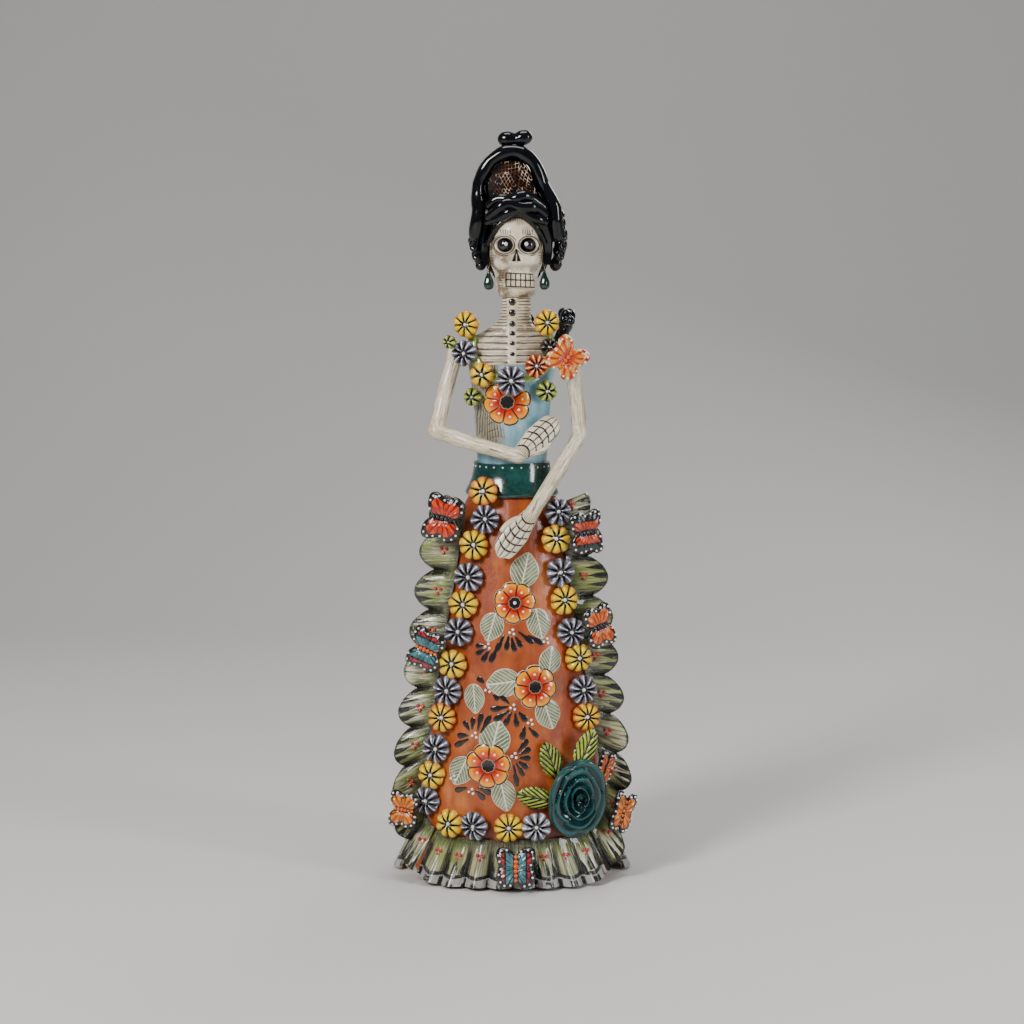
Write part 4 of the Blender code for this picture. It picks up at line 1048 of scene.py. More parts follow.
def pressed_flower(name, place, turn, radius, colour, nodes, petals=None, thickness=FLOWER_THICKNESS):
    """A flower pressed from a ball of clay: puffed petals, deep grooves and a dot or two of slip."""
    petals = petals or dice.choice((8, 9, 10))
    segments = petals * 10
    spin = dice.random() * 6.28
    seed = dice.random()
    swell = [0.94 + 0.10 * dice.random() for _ in range(petals)]
    raised = [0.88 + 0.2 * dice.random() for _ in range(petals)]
    sizes = (0.98, 0.93, 0.86, 0.78, 0.69, 0.6, 0.5, 0.41, 0.32, 0.24, 0.16, 0.09, 0.03)
    loops = []
    below = ((0.80, 0.02), (0.94, 0.12), (0.99, 0.26), (1.0, 0.36))
    for share, under in below + tuple((size, None) for size in sizes):
        loop = []
        for angle in turns(segments):
            cell = (angle * petals / (2 * math.pi)) % petals
            groove = abs((cell % 1.0) - 0.5) * 2
            reach = radius * share * swell[int(cell)] * (1 - 0.09 * groove**2.2 * ease(share, 0.3, 0.95))
            if under is None:
                puff = 0.36 + 0.64 * max(1 - share**2.8, 0) ** 0.5
                cut = 1 - 0.42 * groove**2.0 * ease(share, 0.14, 0.5) * raised[int(cell)]
                dip = 0.66 + 0.34 * ease(share, 0.08, 0.48)
                height = thickness * puff * cut * dip
            else:
                height = under * thickness * (1 - 0.3 * groove**2)
            flat = Vector((math.cos(angle + spin) * reach, math.sin(angle + spin) * reach, height))
            loop.append((Vector(place) + turn @ flat, (share, groove, seed)))
        loops.append(loop)
    clay = Clay()
    clay.loft(loops)
    middle = Vector(place) + turn @ Vector((0, 0, thickness * 0.64))
    clay.dome(middle, turn @ Vector((0, 0, 1)), radius * 0.13, 1.2, slot=1, sides=14)
    if dice.random() < 0.35:
        aside = middle + turn @ Vector((radius * 0.2, radius * 0.1 * (dice.random() - 0.5), 0.1))
        clay.dome(aside, turn @ Vector((0, 0, 1)), radius * 0.09, 0.8, slot=1, sides=12)
    clay.finish(name, [GLAZE[colour + "_flower"], GLAZE["white"]], "root", *nodes)


def flower_spot(x, height):
    """A place off the skirt, clear of the waistband, and a way between out of it and straight ahead."""
    point, out = skirt_front(x, height)
    lift = FLOWER_LIFT + max(height - 240, 0) * 0.3
    return point + out * lift, out.lerp(FRONT, 0.6).normalized()


def walk(path, count, in_group):
    """Count places along a path, which is a function of one growing number, gathered in groups."""
    spots = [path(0)]
    along = 0.0
    while len(spots) < count:
        step = STEP_IN_GROUP if len(spots) % in_group else STEP_BETWEEN_GROUPS
        while (path(along)[0] - spots[-1][0]).length < step:
            along += 0.05
        spots.append(path(along))
    return [spots[i : i + in_group] for i in range(0, count, in_group)]


def side_garland(side, first_height, spread):
    def path(drop):
        height = first_height - drop
        return flower_spot(side * level(spread, height)[0], height)

    return path


def hem_garland(right):
    return flower_spot(HEM_GARLAND["first_x"] + right, HEM_GARLAND["height"])


def build_garlands():
    rows = {name: walk(side_garland(*path), count, size) for name, count, size, *path in GARLANDS}
    rows["hem"] = walk(hem_garland, HEM_GARLAND["flowers"], HEM_GARLAND["in_group"])
    for name, groups in rows.items():
        colours = iter(GARLAND_COLOURS[name])
        for number, spots in enumerate(groups, 1):
            for i, (place, out) in enumerate(spots):
                before, after = spots[max(i - 1, 0)][0], spots[min(i + 1, len(spots) - 1)][0]
                onward = (after - before).normalized()
                turn = facing(out - onward * out.dot(onward), onward)
                piece = f"flower_{name}_{number}_{'abc'[i]}"
                pressed_flower(piece, place, turn, FLOWER_RADIUS, next(colours), [f"garland_{name}_{number}"])


BODICE_FLOWERS = (  # name, x, height, radius, lift, colour, petals
    ("flower_right_shoulder", -30, 371.5, 9.2, 6.0, "yellow", 9),
    ("flower_right_chest", -31, 352.5, 9.0, 7.0, "grey", 9),
    ("flower_right_neckline", -19.6, 338.8, 8.5, 5.5, "yellow", 6),
    ("flower_centre_neckline", -0.6, 335, 10.2, 6.0, "grey", 10),
    ("flower_left_neckline", 15.8, 344.6, 8.0, 6.0, "red", 9),
    ("flower_left_chest", 24, 356.8, 6.2, 5.5, "black", 7),
    ("flower_left_shoulder", 22.8, 373, 9.0, 6.0, "yellow", 9),
    ("bud_right_shoulder", -40.8, 360, 4.9, 11.5, "bud", 6),
    ("bud_right_bodice", -25.5, 323.5, 6.4, 6.5, "bud", 6),
    ("bud_left_bodice", 22.3, 327.6, 7.4, 6.0, "bud", 7),
)


def build_bodice_flowers():
    for name, x, height, radius, lift, colour, petals in BODICE_FLOWERS:
        point, out = body_front(x, min(height, 360))
        place = Vector((x, point.y - lift, height))
        turn = facing(out.lerp(FRONT, 0.7))
        pressed_flower(name + "_glazed", place, turn, radius, colour, [name], petals)


# ---------------------------------------------------------------- rose, leaves and butterflies
ROSE_PLACE, ROSE_HALF_WIDTH, ROSE_HALF_HEIGHT, ROSE_DEPTH = (37.7, 61), 20.5, 26.0, 14.0
ROSE_PETALS = (  # direction in degrees, reach, half spread, rim height; from the outermost to the heart
    (50, 1.00, 66, 0.42), (150, 1.00, 62, 0.46), (232, 1.00, 56, 0.42), (318, 1.00, 66, 0.46),
    (100, 0.80, 70, 0.64), (205, 0.78, 62, 0.60), (285, 0.80, 62, 0.64), (10, 0.76, 62, 0.62),
    (60, 0.56, 74, 0.80), (178, 0.55, 72, 0.82), (292, 0.56, 72, 0.80),
    (120, 0.36, 84, 0.94), (245, 0.35, 84, 0.96), (10, 0.30, 84, 0.92), (150, 0.16, 120, 1.04),
)


def rose_relief(share, angle):
    """How high the rose stands at a share of its radius, and how near that is to a petal's rim."""
    best, near = 0.26 * (1 - share**2) + 0.05, 0.0
    for direction, reach, spread, height in ROSE_PETALS:
        off = (angle - math.radians(direction) + math.pi) % (2 * math.pi) - math.pi
        side = abs(off) / math.radians(spread)
        if side >= 1:
            continue
        ragged = 0.035 * math.sin(3 * angle + direction) + 0.02 * math.sin(7 * angle + 2 * direction)
        rim = reach * (1 - 0.24 * side**2.2 + ragged * (reach < 1))
        inside = share / rim
        if inside > 1.05:
            continue
        stand = height * (0.66 + 0.34 * math.sin(math.pi * clamp(inside) ** 3 * 0.60)) * (1 - 0.34 * side**4)
        stand *= 1 - 0.9 * ease(inside, 0.95, 1.05)
        if stand > best:
            best, near = stand, ease(inside, 0.80, 0.92) * (1 - 0.5 * side**2)
    return best, near


def build_rose():
    x, height = ROSE_PLACE
    point, out = skirt_front(x, height)
    turn = facing(out.lerp(FRONT, 0.5))
    place = point + out * 7.5
    segments, rows = 150, 84
    under = ((0.72, 0.0), (0.95, 0.08), (1.0, 0.2))
    rings = []
    for share, depth in under + tuple((1 - i / rows * 0.985, None) for i in range(rows + 1)):
        ring = []
        for angle in turns(segments):
            pointed = 1 + 0.08 * math.cos(angle + 0.9) + 0.05 * math.cos(2 * (angle - 0.9))
            up, rim = (depth, 0.0) if depth is not None else rose_relief(share, angle)
            up = max(up, 0.2) if depth is None else up
            flat = Vector((
                ROSE_HALF_WIDTH * share * math.cos(angle) * pointed,
                ROSE_HALF_HEIGHT * share * math.sin(angle) * pointed,
                up * ROSE_DEPTH,
            ))
            ring.append((place + turn @ flat, (rim, share, 0)))
        rings.append(ring)
    solid(rings, "rose_glazed", GLAZE["rose"], "root", "rose", sharp=75)


ROSE_LEAVES = (  # name, stalk x, height, direction in degrees from straight up, length, half width, lift
    ("rose_leaf_1", 29, 73.5, 22, 24, 7.0, 2.6),
    ("rose_leaf_2", 35.5, 80, -26, 26, 7.0, 11.5),
    ("rose_leaf_3", 26.5, 58, 76, 24, 6.6, 2.8),
)


def build_rose_leaves():
    for name, x, height, turn, length, half_width, lift in ROSE_LEAVES:
        angle = math.radians(turn)
        up = Vector((-math.sin(angle), 0, math.cos(angle)))
        point, out = skirt_front(x + up.x * length / 2, height + up.z * length / 2)
        matrix = facing(out.lerp(FRONT, 0.5 if lift > 5 else 0.0), up)
        middle = point + out * lift
        segments = 120
        rings = []
        for share, sink in ((0.9, 0.0), (1.0, 0.35)) + tuple((1 - 0.97 * i / 26, None) for i in range(27)):
            ring = []
            for t in turns(segments):
                reach = 1 / math.hypot(math.cos(t) / (length / 2), math.sin(t) / (half_width + 0.8))
                teeth = 0.06 * abs(math.sin(9 * t)) * ease(share, 0.6, 1.0)
                reach *= 1 + 0.14 * max(math.cos(t), 0) ** 20 - teeth
                across, along = math.sin(t) * reach * share, math.cos(t) * reach * share
                vein = (along / length + 0.5 - abs(across) / half_width * 0.55) * LEAF_VEINS
                vein = abs(vein % 1.0 - 0.5) * 2
                if sink is None:
                    bulge = 1.2 * (1 - (1 - vein) ** 2.5) * ease(abs(across) / half_width, 0.03, 0.3)
                    bulge *= ease(share, 1.0, 0.8)
                    stand = 1.0 + 1.2 * (1 - share**3) + bulge
                else:
                    stand = sink
                flat = Vector((across, along, stand))
                ring.append((middle + matrix @ flat, (across / half_width, along / length + 0.5, share)))
            rings.append(ring)
        solid(rings, name + "_glazed", GLAZE["lime_leaf"], "root", name)


WING_OUTLINE = (
    (0.0, 0.62), (0.35, 0.98), (0.85, 1.0), (1.0, 0.62), (0.84, 0.06),
    (0.98, -0.42), (0.78, -0.92), (0.35, -1.0), (0.0, -0.72),
)
# Name, x, y, height, half width, half height, turned in its plane, swung about Z, tipped up, colours.
BUTTERFLIES = (
    ("butterfly_right_hip", -45, -33.5, 244.5, 16, 12.5, 76, 8, 0, "red"),
    ("butterfly_right_knee", -56.5, -33.5, 156.5, 14.5, 12, 70, 22, 0, "turquoise"),
    ("butterfly_right_hem", -72, -33, 48, 12.5, 10.5, 85, 22, -4, "amber"),
    ("butterfly_left_hip", 48.5, -33, 235, 15, 11.5, -84, -24, 0, "teal"),
    ("butterfly_left_knee", 57.5, -31.5, 172, 15, 10.5, -74, -28, 0, "orange"),
    ("butterfly_left_hem", 73.5, -32, 46, 8.8, 13.5, -20, -30, 0, "amber"),
    ("butterfly_beside_rose", 61, -30, 75.5, 6.4, 11.5, -24, -34, 0, "orange"),
    ("butterfly_front_hem", 2.5, -69.4, 17.2, 13.2, 13.2, 0, 0, -12, "turquoise"),
    ("butterfly_left_shoulder", 36, -22.5, 349.5, 12.5, 12, -40, -12, 0, "coral"),
)
WING_RIBS = 2.4  # per radian
LEAF_VEINS = 4.5  # on each side of a leaf


def wing_outline(steps):
    """The closed outline of both wing pairs as points, going round from the head."""
    corners = list(WING_OUTLINE) + [(-x, y) for x, y in reversed(WING_OUTLINE[1:-1])]
    stations = [(x, y, 0) for x, y in corners] + [(*corners[0], 0)]
    return [blend(stations, i / steps) for i in range(steps)]


def build_butterfly(name, x, y, height, half_width, half_height, turned, swing, tip, colours):
    """Puffed wings ribbed like a fan, dots round their border and a row of beads for the body."""
    lean = Matrix.Rotation(math.radians(-swing), 3, "Z") @ Matrix.Rotation(math.radians(tip), 3, "X")
    matrix = lean @ facing(FRONT) @ Matrix.Rotation(math.radians(turned), 3, "Z")
    place = Vector((x, y, height))
    outline = wing_outline(144)
    thickness = 2.4
    clay = Clay()
    rings = []
    above = tuple((1 - 0.96 * (i / 18) ** 0.8, None) for i in range(19))
    for share, under in ((0.93, 0.0), (1.0, 0.5)) + above:
        ring = []
        for spot in outline:
            u, v = spot.x * share, spot.y * share
            angle = math.atan2(v, abs(u) + 0.08)
            if under is None:
                edge = 1 - share**6
                rib = abs(math.sin(math.pi * angle * WING_RIBS)) ** 0.7 * ease(abs(u), 0.1, 0.4)
                wing = math.exp(-((abs(v) - 0.45) ** 2) * 7)
                stand = thickness * (0.45 + 0.55 * edge**0.5) + (0.9 * rib + 0.9 * wing) * edge
                stand -= 0.5 * ease(abs(u), 0.16, 0.02) * edge
            else:
                stand = under
            flat = Vector((u * half_width, v * half_height, stand))
            ring.append((place + matrix @ flat, (u, angle, share)))
        rings.append(ring)
    clay.loft(rings)
    out = matrix @ Vector((0, 0, 1))
    beads = 6
    for i in range(beads):
        v = 0.55 - 1.15 * i / (beads - 1)
        size = min(half_width, half_height) * (0.14 - 0.012 * abs(i - 2))
        bead = place + matrix @ Vector((0, v * half_height, thickness))
        clay.dome(bead, out, size, size * 1.1, slot=2, sides=12)
    dots = 22
    for i in range(dots):
        spot = outline[(i * len(outline) // dots + 2) % len(outline)] * 0.87
        if abs(spot.x) < 0.2:
            continue
        flat = Vector((spot.x * half_width, spot.y * half_height, thickness + 0.5))
        clay.dome(place + matrix @ flat, out, 0.78, 0.8, slot=1, sides=10)
    body = GLAZE["orange_dot"] if colours in ("turquoise", "amber", "coral") else GLAZE["black"]
    clay.finish(name + "_glazed", [GLAZE[colours + "_wing"], GLAZE["white"], body], "root", name)


# ---------------------------------------------------------------- ruffles
RUFFLE_THICKNESS = 2.2
RUFFLE_GAP = 0.7
RUFFLE_STATIONS = (  # inner x, z on the skirt; outer x, y, z; lobes passed since the waist
    ((31, 251), (51, -12, 260), 0.0),
    ((33, 225), (59, -12, 225), 1.35),
    ((42, 170), (66, -13, 170), 3.4),
    ((50, 120), (74, -14, 115), 5.4),
    ((57, 80), (80, -15, 70), 7.0),
    ((60, 52), (80, -20, 40), 8.2),
    ((53, 38), (70, -36, 12), 9.4),
    ((40, 33), (53, -50, 1.6), 10.7),
    ((20, 32.4), (27, -61, 1.4), 12.35),
    ((0, 32.4), (0, -64.5, 1.4), 14.0),
)
SIDE_FRILL = {"depth": 6.0, "notch": 0.42}
HEM_FRILL = {"depth": 3.2, "notch": 0.06}
LEFT_SHIFT = 0.35
SIDE_ENDS_AT, HEM_STARTS_AT = 0.70, 0.71
BACK_HEM_FROM, BACK_HEM_TO, BACK_LOBES = 82, 278, 18  # in degrees from the front, and in a full turn
BACK_HEM_TOP, BACK_HEM_FALL, BACK_HEM_LIFT, BACK_HEM_FLARE = 32, 30.6, 1.9, 9.2
DOTS_AT_WIDTH, DOTS_LIFT = 0.36, 1.4
FRONT_HEM_BUTTERFLY = 13  # half the width it hides
HEM_OVAL = (66, 56)  # half width and half depth of the skirt's foot


def lobe(passed):
    """1 in the middle of a lobe, 0 in the crease between two."""
    return abs(math.sin(math.pi * passed)) ** 0.7


def ruffle_point(where, width, side, frill, shift=0.0):
    """A point of a frill's middle surface and what its glaze reads; width is 0 inside, 1 at the free edge."""
    inner_x, inner_height, passed = blend([(*s[0], s[2]) for s in RUFFLE_STATIONS], where)
    start, out = skirt_front(inner_x, inner_height)
    start += out * (RUFFLE_GAP + RUFFLE_THICKNESS / 2)
    passed += shift
    swell = lobe(passed)
    step = 0.004
    outer = [s[1] for s in RUFFLE_STATIONS]
    notch = HEM_FRILL["notch"] + (frill["notch"] - HEM_FRILL["notch"]) * ease(where, SIDE_ENDS_AT, 0.62)
    across = (blend(outer, where) - start) * (1 - notch * (1 - swell))
    ahead = blend(outer, where + step) - blend(outer, where - step)
    normal = across.cross(ahead).normalized()
    if normal.y > 0:
        normal.negate()
    pleats = 0.5 * wobble((passed * 9, width * 1.4, side), 1.0) * ease(width, 0.05, 0.4)
    point = start + across * width + normal * (frill["depth"] * width**1.3 * (2 * swell - 1) + pleats)
    spot = Vector((side * point.x, point.y, max(point.z, RUFFLE_THICKNESS / 2 + 0.1)))
    return spot, (width, side * passed, swell)


def ruffle_dots(spots):
    """A cluster of three red dots on each of the given (point, out) places."""
    for point, out in spots:
        turn = facing(out)
        for angle in (0.4, 2.5, 4.6):
            aside = turn @ Vector((2.0 * math.cos(angle), 2.0 * math.sin(angle), 0))
            DOTS["red"].dome(point + aside, out, 1.3, 1.1, sides=12)


def mid_lobes(place, steps):
    """The shares along a frill where the lobes stand highest; place(share) gives its local value."""
    swells = [place(i / steps)[1][2] for i in range(steps + 1)]
    return [i / steps for i in range(2, steps - 1) if swells[i - 1] < swells[i] >= swells[i + 1]]


def frill(place, steps, node, glaze):
    """A frill whose middle surface is place(share, width)."""
    rows = 14
    grid = [[place(i / steps, j / rows) for j in range(rows + 1)] for i in range(steps + 1)]
    slab(grid, RUFFLE_THICKNESS, node + "_glazed", GLAZE[glaze], "root", node)


def build_side_ruffle(side, name):
    steps = 420
    shift = LEFT_SHIFT if side > 0 else 0.0

    def place(share, width=0.5):
        return ruffle_point(SIDE_ENDS_AT * share, width, side, SIDE_FRILL, shift)

    frill(place, steps, name, "side_ruffle")
    out = Vector((side * 0.15, -1, 0.05))
    ruffle_dots([(place(share, 0.40)[0] + FRONT * 1.3, out) for share in mid_lobes(place, steps)])


def build_front_hem():
    steps = 420

    def place(share, width=0.5):
        across = share * 2 - 1
        where = 1 - (1 - HEM_STARTS_AT) * abs(across)
        return ruffle_point(where, width, 1 if across >= 0 else -1, HEM_FRILL)

    frill(place, steps, "ruffle_front_hem", "hem_ruffle")
    dots = []
    for share in mid_lobes(place, steps):
        point = place(share, DOTS_AT_WIDTH)[0]
        if abs(point.x) > FRONT_HEM_BUTTERFLY:
            out = Vector((point.x / HEM_OVAL[0] ** 2, point.y / HEM_OVAL[1] ** 2, 0.00003)).normalized()
            dots.append((point + out * DOTS_LIFT, out))
    ruffle_dots(dots)


def build_back_hem():
    steps = 480

    def place(share, width=0.5):
        turn = math.radians(BACK_HEM_FROM + (BACK_HEM_TO - BACK_HEM_FROM) * share)
        passed = turn * BACK_LOBES / (2 * math.pi)
        swell = lobe(passed)
        height = BACK_HEM_TOP - BACK_HEM_FALL * width
        half_width = level(SKIRT_HALF_WIDTH, height)[0]
        lift = BACK_HEM_LIFT + BACK_HEM_FLARE * width + HEM_FRILL["depth"] * width * (2 * swell - 1)
        return oval_point(half_width, half_width * DEPTH_SHARE, turn, height, 0, lift), (width, passed, swell)

    frill(place, steps, "ruffle_back_hem", "hem_ruffle")
    dots = []
    for share in mid_lobes(place, steps):
        point = place(share, DOTS_AT_WIDTH)[0]
        out = Vector((point.x, point.y * 1.2, 0)).normalized()
        dots.append((point + out * DOTS_LIFT, out))
    ruffle_dots(dots)


# ---------------------------------------------------------------- arms
ARM_RADIUS = 5.6
RIGHT_ARM = {
    "shoulder": (-37.5, -2, 353), "elbow": (-50.5, -14, 300.5), "wrist": (4, -32, 285.5),
    "fingertips": (30, -20, 309),
}
LEFT_ARM = {
    "shoulder": (39.5, -2, 350), "elbow": (45.5, -8, 297.5), "wrist": (13, -38, 248),
    "fingertips": (-9, -44, 220),
}
HAND_HALF_WIDTH, HAND_HALF_THICKNESS = 8.5, 3.2


def hand_marks(g):
    """Black lines between the fingers and across the knuckles, on the back of the hand."""
    across, along, back = g.local
    uneven = g.times(g.noise(160, 1), 0.12)
    fingers = g.plus(g.plus(across, 1.0), uneven)
    fingers = g.all(g.ease(g.stripes(fingers, 2.0), 0.20, 0.12), g.ease(along, 0.14, 0.20))
    bend = g.plus(along, g.times(g.math("POWER", across, 2.0), 0.12))
    bend = g.plus(bend, g.times(uneven, 0.3))
    knuckles = g.any(*[
        g.ease(g.size(g.minus(bend, at)), 0.024, 0.014) for at in (0.20, 0.36, 0.52, 0.68, 0.84)
    ])
    knuckles = g.all(knuckles, g.ease(g.size(across), 0.97, 0.9))
    cuff = g.all(g.ease(along, 0.18, 0.14), g.ease(g.stripes(across, 4.5), 0.35, 0.18))
    marks = g.all(
        g.any(fingers, knuckles, cuff), g.ease(back, 0.05, 0.25), g.ease(g.noise(300, 1), 0.10, 0.24),
    )
    return g.times(g.ease(g.noise(70, 3), 0.5, 0.72), 0.35), marks


def build_hand(name, wrist, fingertips, node, glaze):
    """A mitten of clay with its four fingers modelled by three grooves."""
    wrist, fingertips = Vector(wrist), Vector(fingertips)
    ahead = (fingertips - wrist).normalized()
    side = ahead.cross(FRONT).normalized()
    out = side.cross(ahead)
    length = (fingertips - wrist).length
    shape = (
        (0.0, 0.62, 1.06), (0.18, 0.76, 1.04), (0.42, 1.0, 1.0), (0.72, 0.96, 0.88), (0.86, 0.86, 0.78),
        (0.95, 0.66, 0.62), (1.0, 0.36, 0.36),
    )
    rings = []
    sides, rows = 96, 56
    for i in range(rows + 1):
        share = i / rows
        width, thickness = soft_level(shape, share, 0.03)
        ring = []
        for angle in turns(sides):
            across = math.cos(angle)
            cell = abs(((across + 1) * 2) % 1.0 - 0.5) * 2
            groove = ease(share, 0.24, 0.42) * cell**6 * 0.34 * ease(abs(across), 0.95, 0.8)
            tip = ease(share, 0.90, 1.0) * 0.05 * across**2 * length
            knuckle = sum(0.09 * math.exp(-(((share - at) / 0.05) ** 2)) for at in (0.28, 0.44, 0.60, 0.76))
            stand = HAND_HALF_THICKNESS * thickness * (1 - groove + knuckle)
            round_off = math.copysign(abs(math.sin(angle)) ** 0.8, math.sin(angle))
            point = wrist + ahead * (share * length - tip) + side * across * HAND_HALF_WIDTH * width
            point += out * round_off * stand
            ring.append((point, (across, share, math.sin(angle))))
        rings.append(ring)
    clay = Clay()
    clay.loft(rings)
    thumb_root = wrist + ahead * length * 0.22 + side * HAND_HALF_WIDTH * 0.62
    thumb_tip = wrist + ahead * length * 0.56 + side * HAND_HALF_WIDTH * 1.04 + out * 0.6
    path = [thumb_root.lerp(thumb_tip, t / 6) + side * 0.9 * math.sin(math.pi * t / 6) for t in range(7)]
    clay.tube(path, [2.3, 2.4, 2.3, 2.2, 2.15, 2.0, 1.7], 18, slot=1)
    clay.finish(name, [glaze, GLAZE["bone"]], "root", node)


def bone_path(start, end, radius_start, radius_end, bow):
    """A long bone's path and radii: slim in the middle, swollen at its ends."""
    steps = 48
    path, radii = [], []
    for i in range(steps + 1):
        t = i / steps
        point = start.lerp(end, t) + bow * math.sin(math.pi * t)
        knob = 0.09 * math.exp(-((t / 0.06) ** 2)) + 0.09 * math.exp(-(((1 - t) / 0.06) ** 2))
        seam = 0.09 * sum(math.exp(-(((t - at) / 0.012) ** 2)) for at in (0.12, 0.88))
        radius = (radius_start + (radius_end - radius_start) * t) * (0.97 + knob - seam)
        path.append(point)
        radii.append(radius * (1 + 0.05 * wobble(point, 0.14)))
    return path, radii


def build_arm(side_name, joints):
    shoulder, elbow, wrist = (Vector(joints[k]) for k in ("shoulder", "elbow", "wrist"))
    hand_way = (Vector(joints["fingertips"]) - wrist).normalized()
    clay = Clay()
    bow = Vector((0.5 * shoulder.x / 38, 0, 0))
    path, radii = bone_path(shoulder, elbow, ARM_RADIUS * 0.95, ARM_RADIUS * 0.94, bow)
    clay.tube(path, radii, 36)
    clay.finish(f"{side_name}_upper_arm_bone", GLAZE["bone"], "root", f"{side_name}_upper_arm")
    clay = Clay()
    path, radii = bone_path(elbow, wrist, ARM_RADIUS * 0.94, ARM_RADIUS * 0.84, Vector((0, 0, -0.6)))
    clay.tube(path, radii, 36)
    clay.finish(f"{side_name}_forearm_bone", GLAZE["bone"], "root", f"{side_name}_forearm")
    start = wrist + hand_way
    build_hand(f"{side_name}_hand_bone", start, joints["fingertips"], f"{side_name}_hand", GLAZE["hand"])


# ---------------------------------------------------------------- head
SKULL = (  # height, half width, half depth, middle along Y
    (389.7, 10.5, 9.5, -2), (391.5, 12.8, 11.5, -2.5), (398, 13.6, 13, -3), (405, 14.4, 14.2, -3),
    (411, 17.2, 16.5, -2), (419, 18.2, 18.2, -1), (428, 18.2, 18.8, 0), (436, 16.8, 18, 0.5),
    (442, 13.4, 15, 1), (446.5, 8, 9, 1), (448, 3, 3.5, 1),
)
EYE = (7.9, 424.0, 5.4, 4.7)  # off the middle, height, half width, half height
NOSE_TOP, NOSE_BOTTOM, NOSE_HALF_WIDTH = 421.6, 413.4, 3.1
TEETH_TOP, TEETH_LINE, TEETH_BOTTOM, TOOTH = 405.2, 401.0, 396.6, 3.0
TEETH_MIDDLE, TEETH_HALF_WIDTH = 2.6, 9.4


def skull_lift(x, height, front):
    """What the modelling tool pushed in (negative) or built up on the skull's face."""
    off = math.hypot((abs(x) - EYE[0]) / EYE[2], (height - EYE[1]) / EYE[3])
    lift = -3.8 * ease(off, 1.12, 0.62)
    lift += 0.8 * math.exp(-(((off - 1.26) / 0.2) ** 2))
    lift += 1.1 * math.exp(-((x / 2.6) ** 2)) * ease(height, 414, 422) * ease(height, 433, 426)
    down = clamp((NOSE_TOP - height) / (NOSE_TOP - NOSE_BOTTOM))
    if NOSE_BOTTOM - 0.6 < height < NOSE_TOP:
        half = NOSE_HALF_WIDTH * down
        above = ease(height, NOSE_BOTTOM - 0.6, NOSE_BOTTOM + 0.6)
        lift -= 2.8 * ease(abs(x), half + 0.5, half - 0.5) * above
        lift += 1.9 * ease(abs(x), 0.8, 0.2) * ease(down, 0.2, 0.5)
    lift += 1.5 * math.exp(-(((abs(x) - 11.5) / 3.6) ** 2 + ((height - 413.5) / 3.4) ** 2))
    lift -= 1.6 * math.exp(-(((abs(x) - 12.5) / 3.2) ** 2 + ((height - 405) / 3.6) ** 2))
    lift += 1.2 * ease(height, 394.5, 397) * ease(height, 408.5, 405) * ease(abs(x), 13, 9)
    across = abs(x - TEETH_MIDDLE)
    if TEETH_BOTTOM - 0.8 < height < TEETH_TOP + 0.8 and across < TEETH_HALF_WIDTH:
        between = abs((across / TOOTH) % 1.0 - 0.5) * 2
        lift -= 0.7 * ease(between, 0.75, 1.0)
        lift -= 0.7 * ease(abs(height - TEETH_LINE), 0.6, 0.1)
        lift += 0.3 * (1 - between)
    lift -= 0.5 * math.exp(-(((height - 395) / 1.2) ** 2)) * ease(abs(x), 10, 6)
    lift += 0.45 * wobble((x, height, 3), 0.13)
    return lift * front


